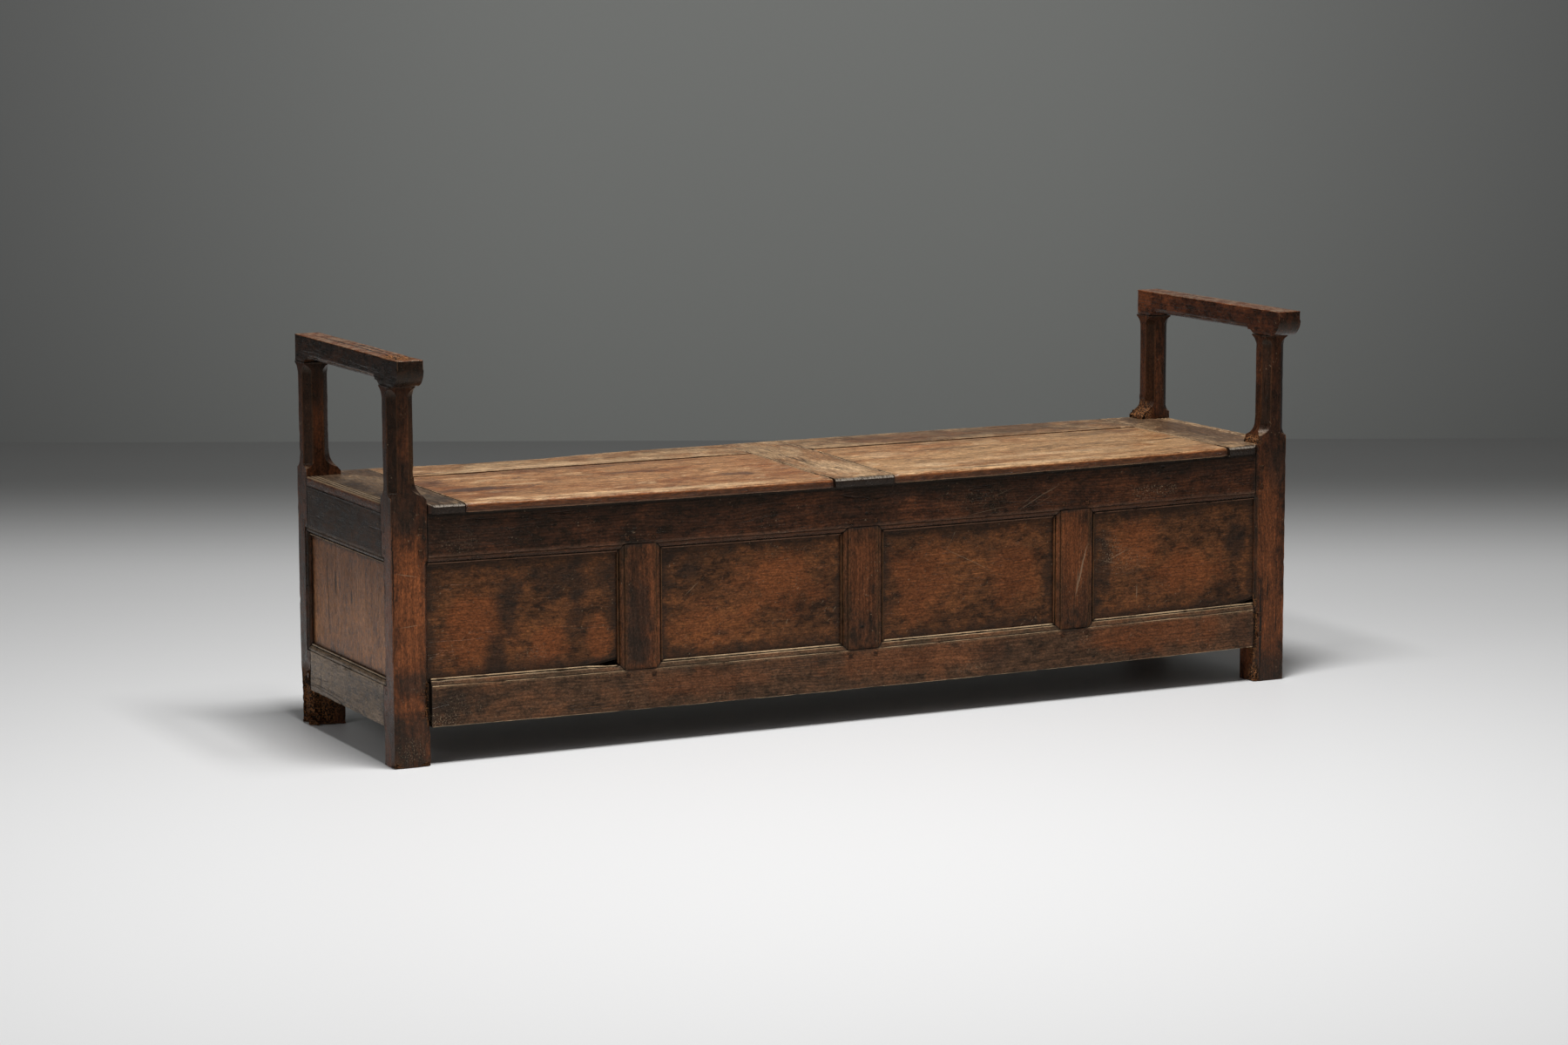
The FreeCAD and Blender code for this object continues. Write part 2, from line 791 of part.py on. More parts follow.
def lid_pivots(side):
    """The two iron pins of one lid, fast in the lid and free in the fixed boards."""
    near = centre_half
    far = board_inner_x
    pins = []
    for seam, away in ((near, -1), (far, 1)):
        lid_edge = seam - away * lid_side_gap
        inside = lid_edge - away * pivot_in_lid
        outside = seam + away * pivot_in_board
        ends = sorted((side * inside, side * outside))
        pins.append(pivot(ends[0], ends[1], pivot_radius))
    return pins


# The chest floor

def floor_seam(number):
    """The middle of the seam to the left of a floor board, counted from the left end."""
    inner_end = end_x - rail_thickness
    return inner_end * (2 * number / floor_board_count - 1)


def floor_board(number):
    """One of the boards that run from front to back on the bearers."""
    left = floor_seam(number) + (floor_board_gap / 2 if number > 0 else 0)
    right = floor_seam(number + 1) - (floor_board_gap / 2 if number < floor_board_count - 1 else 0)
    front = front_y + rail_thickness
    back = back_y - rail_thickness
    top = floor_low + floor_thickness
    wood = box(left, right, front, back, floor_low, top)
    tools = []
    for side in (-1, 1):
        post_edge = side * (inner_x - floor_notch_gap)
        ends = sorted((post_edge, side * (end_x + overrun)))
        if ends[0] < right and ends[1] > left:
            front_notch = front_y + post_depth + floor_notch_gap
            back_notch = back_y - post_depth - floor_notch_gap
            low = floor_low - overrun
            tools.append(box(ends[0], ends[1], front - overrun, front_notch, low, top + overrun))
            tools.append(box(ends[0], ends[1], back_notch, back + overrun, low, top + overrun))
    wood = cut(wood, tools)
    return cut(wood, reaching(wood, floor_nails()))


def floor_bearer(back):
    """The strip along a bottom rail that carries the floor boards."""
    line = back_y - rail_thickness - bearer_size if back else front_y + rail_thickness
    wood = box(-inner_x, inner_x, line, line + bearer_size, bearer_low, floor_low)
    return cut(wood, reaching(wood, floor_nails() + bearer_nails()))


def nail(head, along):
    """A headless forged nail with a tapering square shank, driven flush along an axis."""
    point = head + along * nail_length
    return frustum(square(head, nail_shank, along), square(point, nail_point, along))


def floor_nails():
    """The nails that hold the floor boards to the bearers, sunk flush."""
    top = floor_low + floor_thickness
    reach = rail_thickness + bearer_size / 2
    nails = []
    for number in range(floor_board_count):
        for x in (floor_seam(number) + nail_inset, floor_seam(number + 1) - nail_inset):
            for line in (front_y + reach, back_y - reach):
                nails.append(nail(Vector(x, line, top), Vector(0, 0, -1)))
    return nails


def bearer_nails():
    """The nails that hold each bearer to its rail, one under each seam of the floor."""
    middle = bearer_low + bearer_size / 2
    reach = rail_thickness + bearer_size
    nails = []
    for line, toward in ((front_y + reach, -1), (back_y - reach, 1)):
        for number in range(1, floor_board_count):
            nails.append(nail(Vector(floor_seam(number), line, middle), Vector(0, toward, 0)))
    return nails


def write(name, solids):
    """Writes one node, which may be a group of separate solids."""
    shape = Part.makeCompound(solids) if len(solids) > 1 else solids[0]
    shape.exportStep("parts/" + name + ".step")


def long_frame(name, place, moulded):
    """The nodes of the front or back frame."""
    half = clear_length / 2
    for level, upper in (("top", True), ("bottom", False)):
        wood = place(rail(upper, half, rail_tenon_length, moulded, True, False))
        holes = dowels(peg_clearance) if upper else bearer_nails()
        write(name + "_" + level + "_rail", [cut(wood, reaching(wood, holes))])
    for word, middle in zip(("left", "centre", "right"), muntin_places()):
        write(name + "_muntin_" + word, [place(muntin(middle, moulded))])
    for number, (left, right) in enumerate(openings_between(half, True)):
        write(name + "_panel_" + str(number + 1), [place(panel(left, right))])
    write(name + "_pegs", [place(pin) for pin in frame_pegs(half, True, 0, 0)])


def end_frame(name, side):
    """The nodes of one end frame."""
    half = clear_depth / 2
    for level, upper in (("top", True), ("bottom", False)):
        wood = to_end(rail(upper, half, end_tenon_length, True, False, True), side)
        holes = reaching(wood, dowels(peg_clearance)) if upper else []
        write(name + "_end_" + level + "_rail", [cut(wood, holes)])
    left, right = openings_between(half, False)[0]
    write(name + "_end_panel", [to_end(panel(left, right), side)])
    write(name + "_end_pegs", [to_end(pin, side) for pin in frame_pegs(half, False, 0, 0)])


def main():
    os.makedirs("parts", exist_ok=True)
    corner_post = post()
    for end, side in (("left", -1), ("right", 1)):
        write("front_post_" + end, [to_corner(corner_post, side, False)])
        write("back_post_" + end, [to_corner(corner_post, side, True)])
        write("arm_" + end, [to_corner(arm(), side, False)])
        end_frame(end, side)
        board = seat_end_board()
        board = board.mirror(Vector(0, 0, 0), Vector(1, 0, 0)) if side > 0 else board
        write("seat_end_board_" + end, [board])
        write("seat_back_board_" + end, [back_seat_board(side)])
        write("lid_" + end, [lid(side)])
        write("lid_pivots_" + end, lid_pivots(side))
    long_frame("front", to_front, True)
    long_frame("back", to_back, False)
    write("seat_centre_board", [seat_centre_board()])
    write("seat_dowels", dowels(0))
    for number in range(floor_board_count):
        write("floor_board_" + str(number + 1), [floor_board(number)])
    write("floor_bearer_front", [floor_bearer(False)])
    write("floor_bearer_back", [floor_bearer(True)])
    write("floor_nails", floor_nails())
    write("bearer_nails", bearer_nails())


main()
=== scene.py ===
import json
import math
from functools import reduce

import bmesh
import bpy
import numpy as np
from bpy.props import FloatProperty, FloatVectorProperty, PointerProperty
from mathutils import Matrix, Vector, noise
from mathutils.bvhtree import BVHTree

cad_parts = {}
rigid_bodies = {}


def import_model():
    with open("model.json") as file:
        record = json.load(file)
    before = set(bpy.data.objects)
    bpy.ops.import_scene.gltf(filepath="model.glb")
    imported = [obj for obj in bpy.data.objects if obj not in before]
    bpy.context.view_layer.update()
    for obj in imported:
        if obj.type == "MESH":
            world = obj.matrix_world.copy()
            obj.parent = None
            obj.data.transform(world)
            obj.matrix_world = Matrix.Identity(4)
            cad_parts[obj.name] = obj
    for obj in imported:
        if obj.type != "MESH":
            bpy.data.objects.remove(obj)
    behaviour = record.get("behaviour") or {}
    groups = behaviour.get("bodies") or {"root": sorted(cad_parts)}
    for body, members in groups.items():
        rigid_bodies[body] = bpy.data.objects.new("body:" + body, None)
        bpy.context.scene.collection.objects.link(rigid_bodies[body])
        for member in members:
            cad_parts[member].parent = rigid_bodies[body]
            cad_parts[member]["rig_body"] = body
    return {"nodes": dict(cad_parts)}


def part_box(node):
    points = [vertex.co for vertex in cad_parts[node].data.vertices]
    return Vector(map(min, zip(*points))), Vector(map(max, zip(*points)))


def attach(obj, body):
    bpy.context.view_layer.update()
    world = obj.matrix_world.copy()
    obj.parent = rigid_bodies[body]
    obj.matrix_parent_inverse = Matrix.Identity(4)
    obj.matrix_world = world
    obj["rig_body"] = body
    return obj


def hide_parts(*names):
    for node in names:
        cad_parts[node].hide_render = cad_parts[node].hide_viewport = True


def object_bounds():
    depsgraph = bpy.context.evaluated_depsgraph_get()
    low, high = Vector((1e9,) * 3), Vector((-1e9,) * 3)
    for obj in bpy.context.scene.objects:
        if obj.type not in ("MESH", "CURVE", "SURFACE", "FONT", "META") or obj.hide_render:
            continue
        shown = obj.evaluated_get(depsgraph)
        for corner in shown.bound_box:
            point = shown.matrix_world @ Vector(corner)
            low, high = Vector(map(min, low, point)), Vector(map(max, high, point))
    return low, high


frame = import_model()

bl_info = {
    "name": "Joined Chest Bench",
    "version": (1, 0, 0),
    "blender": (4, 5, 0),
    "location": "View3D > Sidebar > Bench",
    "description": "Old oak chest bench with open arms and two lifting seat lids",
    "category": "Object",
}

CAD_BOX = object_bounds()
X, Y, Z = 0, 1, 2
BOXES = {node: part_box(node) for node in frame["nodes"]}
SEAT_TOP = BOXES["seat_centre_board"][1].z
BOARD_FRONT = BOXES["seat_centre_board"][0].y
SEAT_END = BOXES["seat_end_board_right"][1].x
POST_FACE = BOXES["front_post_left"][0].y
OPENING_LOW = BOXES["front_bottom_rail"][1].z
INNER = abs(BOXES["front_post_left"][1].x)
BACK = BOXES["back_post_left"][1].y
HINGE = sum(corner.y for corner in BOXES["lid_pivots_left"]) / 2
RIDGE_PITCH = 0.0085


def paint(red, green, blue):
    """A linear colour from the three screen values of a paint chip."""
    return tuple(((v / 255 + 0.055) / 1.055) ** 2.4 if v > 10 else v / 3295 for v in (red, green, blue))


def blended(first, second, share):
    """The colour at some share of the way from the first to the second."""
    return tuple(a + (b - a) * share for a, b in zip(first, second))


# Settings that a user would change

def colour(name, description, default):
    return FloatVectorProperty(name=name, description=description, subtype="COLOR", size=3, min=0, max=1,
                               default=default)


def length(name, description, default):
    return FloatProperty(name=name, description=description, unit="LENGTH", min=0, default=default)


class BenchWear(bpy.types.PropertyGroup):
    """How far the old oak has worn."""
    sag: length("Sag", "How far the front and the lids hang down in their middle", 0.006)
    arris: length("Arris", "How far the sharp edges are rubbed back", 0.0006)
    chip: length("Chip", "Depth of the deepest chips on the edges", 0.0022)
    warp: length("Warp", "Depth of the gentle hollows in the faces", 0.0006)
    cell: length("Cell", "Length of the strips that the worn pieces are cut into", 0.009)


class BenchColours(bpy.types.PropertyGroup):
    """The colours that several finishes share."""
    # black also paints shade in the quirks and grooves, and shadow under and behind the lids
    black: colour("Black", "Gaps, pores and cracks", paint(16, 12, 10))
    # soot also paints shade round the joints and under the lids' nosing
    soot: colour("Soot", "Brown-black grime", paint(34, 27, 23))
    slate: colour("Slate", "Grey-black of hands and boots", paint(44, 34, 27))
    russet: colour("Russet", "Worn red-brown oak", paint(116, 64, 34))
    # a painted highlight along the top edge of the boards' front ends
    silver: colour("Silver", "Grey shine of rubbed end grain", paint(142, 132, 120))
    raw: colour("Raw", "Crumbled oak without its skin", paint(134, 88, 52))
    # dust also paints the highlight on the end boards' ridges
    dust: colour("Dust", "Dry dust and rubbed edges", paint(160, 138, 112))
    iron: colour("Iron", "Forged iron", paint(48, 44, 42))
    rust: colour("Rust", "Rust on the iron", paint(92, 52, 32))


class BenchStage(bpy.types.PropertyGroup):
    """The camera and the light."""
    lens: FloatProperty(name="Lens", description="Focal length", unit="CAMERA", default=93.903, min=10)
    overhead: FloatProperty(name="Overhead", description="Power of the soft light above", unit="POWER",
                            default=215.0, min=0)
    fill: FloatProperty(name="Fill", description="Power of the soft light at the left", unit="POWER",
                        default=22.0, min=0)
    sky: FloatProperty(name="Sky", description="Strength of the even light all round", subtype="FACTOR",
                       default=0.13, min=0, max=1)


# Values in a node tree

class Value:
    """A number, vector, colour or shader in a node tree.

    Arithmetic with it places a node and gives what the node puts out.
    """

    def __init__(self, tree, socket):
        self.tree, self.socket = tree, socket

    def math(self, operation, other=0.0):
        return put(self.tree, "Math", {0: self, 1: other}, operation=operation)

    def __add__(self, other):
        return self.math("ADD", other)

    def __sub__(self, other):
        return self.math("SUBTRACT", other)

    def __rsub__(self, other):
        return put(self.tree, "Math", {0: other, 1: self}, operation="SUBTRACT")

    def __mul__(self, other):
        return self.math("MULTIPLY", other)

    def __truediv__(self, other):
        return self.math("DIVIDE", other)

    def __abs__(self):
        return self.math("ABSOLUTE")

    def ramp(self, low, high, start=0.0, end=1.0):
        """Eases from start to end while the number runs from low to high."""
        limits = {"Value": self, "From Min": low, "From Max": high, "To Min": start, "To Max": end}
        return put(self.tree, "MapRange", limits, interpolation_type="SMOOTHSTEP")

    def tripled(self):
        """A vector or a grey, each of whose three parts is the number."""
        return put(self.tree, "CombineXYZ", {"X": self, "Y": self, "Z": self})

    def vector(self, operation, other=(0, 0, 0), output="Vector"):
        """One step of arithmetic with a vector."""
        return put(self.tree, "VectorMath", {0: self, 1: other}, output, operation=operation)

    def parts(self):
        """The three numbers of a vector."""
        node = put(self.tree, "SeparateXYZ", {0: self}).socket.node
        return [Value(self.tree, output) for output in node.outputs]

    def cloud(self, scale, detail=4, roughness=0.55, distortion=0):
        """Cloudy noise from 0 to 1 at a place. Its scale is one number, or one for each axis."""
        place = self
        if isinstance(scale, tuple):
            place, scale = self.vector("MULTIPLY", scale), 1
        return put(self.tree, "TexNoise", {"Vector": place, "Scale": scale, "Detail": detail,
                                           "Roughness": roughness, "Distortion": distortion}, "Fac")


def put(tree, kind, inputs=None, output=0, **settings):
    """Places a node with its settings and inputs, which are values or links, and gives one of its outputs."""
    node = tree.nodes.new("ShaderNode" + kind)
    for name, setting in settings.items():
        setattr(node, name, setting)
    for name, value in (inputs or {}).items():
        if isinstance(value, Value):
            tree.links.new(value.socket, node.inputs[name])
        else:
            node.inputs[name].default_value = value
    return Value(tree, node.outputs[output])


def attribute(tree, name):
    """A number, or for the grain a place, that a worn piece carries at its points."""
    return put(tree, "Attribute", None, "Vector" if name == "grain" else "Fac", attribute_name=name)


def object_place(tree):
    return put(tree, "TexCoord", None, "Object")


def strongest(masks):
    return reduce(lambda first, second: first.math("MAXIMUM", second), masks)


# Effects that several materials share. Each gets its inputs and gives its outputs by name.

NO_REACH = 0.0001


def oak_figure(tree, given):
    """The figure of sawn oak, along each piece's own grain."""
    grain = attribute(tree, "grain").vector("ADD", given["Seed"].tripled())
    stretched = grain.vector("MULTIPLY", (2.2, 11, 11))
    drift = put(tree, "TexNoise", {"Vector": stretched, "Scale": 1, "Detail": 3}, "Color")
    drift = drift.vector("SUBTRACT", (0.5, 0.5, 0.5)).vector("MULTIPLY", (0, 0.05, 0.05))
    bent = drift.vector("ADD", grain)
    along, wide, deep = bent.parts()
    wide, deep = wide + 0.07, deep + 0.05
    turns = (wide * wide + deep * deep).math("SQRT") / given["Spacing"] * math.tau
    line = abs(bent.cloud((1.7, 42, 42), 2, 0.5) - 0.5)
    return {
        "Rings": turns.math("SINE") * 0.5 + 0.5,
        "Streaks": bent.cloud((5, 95, 95), 5, 0.6),
        "Fibres": bent.cloud((17, 520, 520), 3, 0.6),
        "Flecks": bent.cloud((55, 400, 400), 4, 0.68),
        "Pores": bent.cloud((38, 900, 900), 2, 0.5).ramp(0.6, 0.7),
        "Checks": line.ramp(0.002, 0.012, 1, 0) * grain.cloud((4, 19, 19), 2).ramp(0.52, 0.62),
    }


def old_finish(tree, given):
    """Cloudy patches in the finish, from large to small, that follow the grain a little."""
    grain = attribute(tree, "grain").vector("ADD", given["Seed"].tripled())
    dots = put(tree, "TexVoronoi", {"Vector": grain, "Scale": 95, "Randomness": 1}, "Distance")
    turned = put(tree, "VectorRotate", {"Vector": grain, "Axis": (0.3, 0.8, 0.5), "Angle": 0.9})
    return {
        "Patches": grain.cloud((6, 10, 10), 7, 0.62, 0.5),
        "Mottle": grain.cloud((42, 75, 75), 6, 0.7, 0.4),
        "Speckle": grain.cloud((210, 330, 330), 5, 0.75, 0.3),
        "Specks": dots.ramp(0.1, 0.17, 1, 0) * grain.cloud(13, 3).ramp(0.56, 0.66),
        "Scratches": turned.cloud((9, 330, 330), 2).ramp(0.66, 0.72) * grain.cloud(21, 3).ramp(0.54, 0.64),
    }


def arris_wear(tree, given):
    """Where hands and cloth have rubbed the arrises back to paler wood; on waxed oak the same band also
    carries a painted highlight.
    """
    place = object_place(tree)
    reach = place.cloud(70, 5, 0.65) * place.cloud(7, 3) * (given["Width"] * 4)
    share = attribute(tree, "arris") / reach.math("MAXIMUM", NO_REACH)
    return {"Mask": share.ramp(0.35, 1.1, 1, 0)}


def joint_grime(tree, given):
    """Dirt along the joints, as a dark line and a wide ragged halo that is partly painted shade between the
    pieces;
    and painted shade in the quirks of the inner corners.
    """
    place, away, hollow = object_place(tree), attribute(tree, "joint"), attribute(tree, "hollow")
    reach = given["Halo"] * place.cloud(24, 6, 0.62).ramp(0.3, 0.72, 0.2, 1.8)
    thin = place.cloud(60, 3).ramp(0.35, 0.65, 0.0003, 0.0013)
    return {
        "Line": (away / thin).ramp(0.2, 1, 1, 0),
        # the halo: dirt and painted shade round the joints
        "Halo": (away / reach.math("MAXIMUM", NO_REACH)).ramp(0, 1, 1, 0),
        "Free": away.ramp(0.001, 0.004),
        # painted shade in the quirks and inner corners
        "Quirk": hollow.ramp(0.0002, 0.0016, 1, 0),
        "Moulded": hollow.ramp(0.003, 0.0075, 1, 0),
    }


def crack(tree, given):
    """A thin wavy crack through one place, which tapers to its ends."""
    away = object_place(tree).vector("SUBTRACT", given["Centre"])
    run = away.vector("DOT_PRODUCT", given["Along"], "Value")
    wave = (put(tree, "CombineXYZ", {"X": run * 28}).cloud(1, 4) - 0.5) * 0.009
    off = abs(away.vector("DOT_PRODUCT", given["Across"], "Value") + wave)
    share = run / given["Length"]
    wide = given["Width"] * (1.0 - share * share).math("MAXIMUM")
    return {"Mask": (off - wide).ramp(-0.0004, 0.0003, 1, 0)}


def blot(tree, given):
    """A soft ragged blot at one place on the bench."""
    place = object_place(tree)
    away = place.vector("SUBTRACT", given["Centre"]).vector("DIVIDE", given["Reach"])
    ragged = (place.cloud(22, 6, 0.65) - 0.5) * 4 * given["Raggedness"]
    return {"Mask": (away.vector("LENGTH", output="Value") + ragged).ramp(0.4, 1.15, 1, 0)}


EFFECTS = (
    (oak_figure, {"Spacing": 0.004, "Seed": 0.0}),
    (old_finish, {"Seed": 0.0}),
    (arris_wear, {"Width": 0.005}),
    (joint_grime, {"Halo": 0.02}),
    (crack, {"Centre": (0, 0, 0), "Along": (0, 0, 1), "Across": (1, 0, 0), "Length": 0.05, "Width": 0.001}),
    (blot, {"Centre": (0, 0, 0), "Reach": (0.1, 0.1, 0.1), "Raggedness": 0.5}),
)


def make_effect(recipe, inputs):
    """Makes the node group of a shared effect."""
    tree = bpy.data.node_groups.new(recipe.__name__, "ShaderNodeTree")
    for name, default in inputs.items():
        kind = "NodeSocketVector" if isinstance(default, tuple) else "NodeSocketFloat"
        tree.interface.new_socket(name, in_out="INPUT", socket_type=kind).default_value = default
    given = tree.nodes.new("NodeGroupInput").outputs
    found = recipe(tree, {name: Value(tree, given[name]) for name in inputs})
    for name in found:
        tree.interface.new_socket(name, in_out="OUTPUT", socket_type="NodeSocketFloat")
    result = tree.nodes.new("NodeGroupOutput")
    for name, value in found.items():
        tree.links.new(value.socket, result.inputs[name])


def effect(tree, name, inputs):
    """Places a shared effect with its own values, and gives its outputs by name."""
    node = put(tree, "Group", inputs, node_tree=bpy.data.node_groups[name]).socket.node
    return {output.name: Value(tree, output) for output in node.outputs}


# Marks that show at one place on the front: middle and reach in metres along X and Z, and strength

RUSSET_BLOTS = {
    "bottom_rail": [(0.1, 0.115, 0.22, 0.035, 0.35), (0.66, 0.12, 0.2, 0.04, 0.55),
                    (-0.35, 0.11, 0.16, 0.03, 0.3)],
    "muntin": [(0.0, 0.28, 0.04, 0.09, 0.35), (0.475, 0.29, 0.04, 0.1, 0.4)],
    "post": [(-0.97, 0.28, 0.012, 0.2, 0.4), (-0.932, 0.27, 0.04, 0.14, 0.9),
             (-0.932, 0.37, 0.035, 0.06, 0.6), (-0.93, 0.115, 0.04, 0.014, 0.7),
             (-0.93, 0.62, 0.02, 0.07, 0.4), (0.93, 0.33, 0.03, 0.14, 0.6), (0.945, 0.12, 0.03, 0.1, 0.5)],
    "panel": [(-0.81, 0.25, 0.07, 0.08, 0.7), (-0.66, 0.21, 0.05, 0.04, 0.8), (-0.55, 0.21, 0.03, 0.05, 0.6),
              (-0.34, 0.22, 0.1, 0.05, 0.4), (-0.18, 0.29, 0.1, 0.07, 0.6), (0.13, 0.27, 0.08, 0.09, 0.5),
              (0.34, 0.27, 0.07, 0.07, 0.5), (0.62, 0.31, 0.07, 0.06, 0.6), (0.75, 0.24, 0.1, 0.05, 0.7)],
}
SOOT_BLOTS = {
    "post": [(-0.935, 0.05, 0.06, 0.07, 0.4), (-0.93, 0.16, 0.045, 0.022, 0.7),
             (-0.94, 0.07, 0.06, 0.03, 0.3), (0.94, 0.02, 0.06, 0.04, 0.6), (0.95, 0.44, 0.03, 0.05, 0.5),
             (-0.95, 0.47, 0.03, 0.05, 0.6)],
    "panel": [(-0.735, 0.29, 0.03, 0.07, 0.75), (-0.76, 0.2, 0.03, 0.05, 0.75),
              (-0.62, 0.33, 0.09, 0.04, 0.7), (-0.6, 0.25, 0.03, 0.05, 0.7), (-0.44, 0.26, 0.02, 0.1, 0.9),
              (-0.36, 0.33, 0.03, 0.03, 0.6), (-0.3, 0.2, 0.03, 0.008, 0.6), (0.55, 0.27, 0.02, 0.09, 0.7),
              (0.86, 0.3, 0.03, 0.08, 0.7)],
    "muntin": [(-0.475, 0.24, 0.035, 0.09, 0.75), (-0.475, 0.19, 0.045, 0.04, 0.6),
               (0.0, 0.19, 0.012, 0.012, 0.6)],
    "end_rail": [(-0.95, 0.11, 0.05, 0.05, 0.6)],
    "bottom_rail": [(-0.86, 0.11, 0.08, 0.04, 0.8), (0.3, 0.11, 0.06, 0.03, 0.5),
                    (0.87, 0.11, 0.06, 0.03, 0.5), (0.475, 0.145, 0.03, 0.012, 0.6)],
    # the top rail's blots lie under the lids' nosing: soot and painted shadow
    "top_rail": [(-0.8, 0.43, 0.14, 0.04, 0.5), (0.1, 0.455, 0.14, 0.025, 0.6),
                 (0.75, 0.455, 0.2, 0.02, 0.5)],
}

# The same for patches of pale specks

DUST_BLOTS = {
    "bottom_rail": [(-0.885, 0.085, 0.05, 0.02, 1.0), (-0.84, 0.105, 0.05, 0.03, 0.5),
                    (0.5, 0.125, 0.015, 0.02, 0.7), (0.24, 0.088, 0.05, 0.012, 0.4)],
    "panel": [(0.56, 0.3, 0.035, 0.03, 0.7), (0.6, 0.27, 0.05, 0.03, 0.5), (-0.69, 0.2, 0.03, 0.02, 0.4)],
    "top_rail": [(0.25, 0.42, 0.1, 0.03, 0.25), (0.66, 0.41, 0.06, 0.018, 0.7),
                 (-0.84, 0.41, 0.05, 0.02, 0.3)],
    "post": [(-0.93, 0.03, 0.03, 0.025, 0.5)],
    "muntin": [(0.49, 0.27, 0.008, 0.07, 0.4)],
}

# Marks on the seat: middle and reach along X and Y, and strength

SEAT_SOOT = {
    "lid_left": [(-0.748, -0.081, 0.1, 0.025, 0.8), (-0.211, -0.096, 0.06, 0.02, 0.7),
                 (-0.8, 0.02, 0.05, 0.06, 0.4), (-0.7, -0.13, 0.06, 0.014, 0.4), (-0.5, 0.1, 0.3, 0.02, 0.4),
                 (-0.38, 0.0, 0.1, 0.012, 0.5)],
    "lid_right": [(0.34, 0.02, 0.14, 0.014, 0.45), (0.62, -0.05, 0.12, 0.015, 0.4),
                  (0.7, 0.08, 0.12, 0.03, 0.5), (0.25, -0.1, 0.1, 0.012, 0.35),
                  (0.45, 0.1, 0.2, 0.015, 0.35)],
    "board": [(-0.2, 0.24, 0.1, 0.03, 0.4), (0.9, 0.02, 0.09, 0.34, 0.8), (0.93, -0.2, 0.05, 0.05, 0.5),
              (0.45, 0.21, 0.42, 0.09, 0.7)],
    "end_board": [(-0.93, 0.0, 0.03, 0.2, 0.4), (-0.86, -0.16, 0.04, 0.06, 0.6)],
}
SEAT_RUSSET = {
    "lid_left": [(-0.12, -0.04, 0.05, 0.14, 0.4), (-0.77, -0.04, 0.05, 0.014, 0.55),
                 (-0.5, -0.02, 0.12, 0.02, 0.3), (-0.3, -0.1, 0.12, 0.02, 0.35)],
    "lid_right": [(0.6, -0.19, 0.16, 0.012, 0.3), (0.3, 0.06, 0.1, 0.02, 0.3)],
    "board": [(0.3, 0.2, 0.2, 0.05, 0.3)],
}
SEAT_PALE = {
    "lid_left": [(-0.634, -0.05, 0.07, 0.012, 0.5), (-0.45, -0.215, 0.36, 0.02, 0.6),
                 (-0.74, -0.2, 0.06, 0.02, 0.6), (-0.66, 0.06, 0.12, 0.012, 0.3)],
    "lid_right": [(0.35, -0.215, 0.3, 0.018, 0.5), (0.2, -0.15, 0.09, 0.03, 0.6),
                  (0.5, -0.12, 0.16, 0.02, 0.4), (0.16, 0.0, 0.06, 0.04, 0.4)],
    "board": [(-0.5, 0.15, 0.3, 0.02, 0.5), (0.0, -0.1, 0.05, 0.1, 0.3)],
    "end_board": [(-0.87, 0.12, 0.03, 0.05, 0.4)],
}

# Cracks: centre, direction along, direction across, half length and half width in metres

UPWARD, ACROSS, INWARD = (0, 0, 1), (1, 0, 0), (0, 1, 0)
CRACKS = {
    "post": [((0.914, POST_FACE, 0.11), UPWARD, ACROSS, 0.11, 0.0024),
             ((0.93, POST_FACE, 0.19), UPWARD, ACROSS, 0.03, 0.0014),
             ((0.951, POST_FACE, 0.12), UPWARD, ACROSS, 0.03, 0.001),
             ((-0.967, POST_FACE, 0.36), UPWARD, ACROSS, 0.1, 0.0012)],
    "arm_left": [((-0.947, 0, 0.76), INWARD, ACROSS, 0.25, 0.0026),
                 ((-0.932, -0.06, 0.76), INWARD, ACROSS, 0.15, 0.0022)],
    "arm_right": [((0.95, 0.1, 0.76), INWARD, ACROSS, 0.14, 0.0014)],
    "end_panel": [((-0.95, 0.14, 0.31), UPWARD, INWARD, 0.05, 0.0016),
                  ((-0.95, 0.095, 0.3), UPWARD, INWARD, 0.025, 0.0036),
                  ((-0.95, 0.01, 0.285), UPWARD, INWARD, 0.016, 0.0024),
                  ((-0.95, 0.135, 0.24), UPWARD, INWARD, 0.05, 0.0014)],
    "lid_right": [((0.79, -0.06, SEAT_TOP), ACROSS, INWARD, 0.05, 0.003)],
    "lid_left": [((-0.76, -0.17, SEAT_TOP), ACROSS, INWARD, 0.06, 0.0012)],
    "end_rail": [((-0.95, 0.16, 0.1), UPWARD, INWARD, 0.02, 0.002),
                 ((-0.95, 0.12, 0.09), UPWARD, INWARD, 0.01, 0.0016)],
}

# Scrapes on the front: middle along X and Z, tilt in degrees, half length, half width and strength

SCRAPES = {
    "top_rail": [(0.28, 0.397, 8, 0.05, 0.0006, 0.2), (0.385, 0.412, 27, 0.05, 0.0007, 0.28),
                 (0.37, 0.414, 33, 0.02, 0.0006, 0.2), (0.42, 0.428, 24, 0.02, 0.0007, 0.24),
                 (0.4, 0.407, 22, 0.03, 0.0005, 0.2), (0.31, 0.43, 16, 0.03, 0.0005, 0.18)],
    "muntin": [(0.49, 0.262, 76, 0.056, 0.0019, 0.4), (0.481, 0.24, 83, 0.03, 0.0007, 0.4)],
    "panel": [(0.238, 0.301, -26, 0.07, 0.0006, 0.35), (0.2, 0.34, 58, 0.03, 0.0004, 0.25),
              (0.58, 0.285, 22, 0.03, 0.0006, 0.6), (0.625, 0.207, 88, 0.016, 0.0006, 0.7),
              (0.56, 0.272, -14, 0.02, 0.0005, 0.5), (-0.36, 0.29, 40, 0.02, 0.0005, 0.5)],
    "post": [(-0.94, 0.36, -12, 0.022, 0.0005, 0.6), (-0.935, 0.265, 4, 0.02, 0.0005, 0.5)],
}

# Holes in the front: middle along X and Z, and reach along each

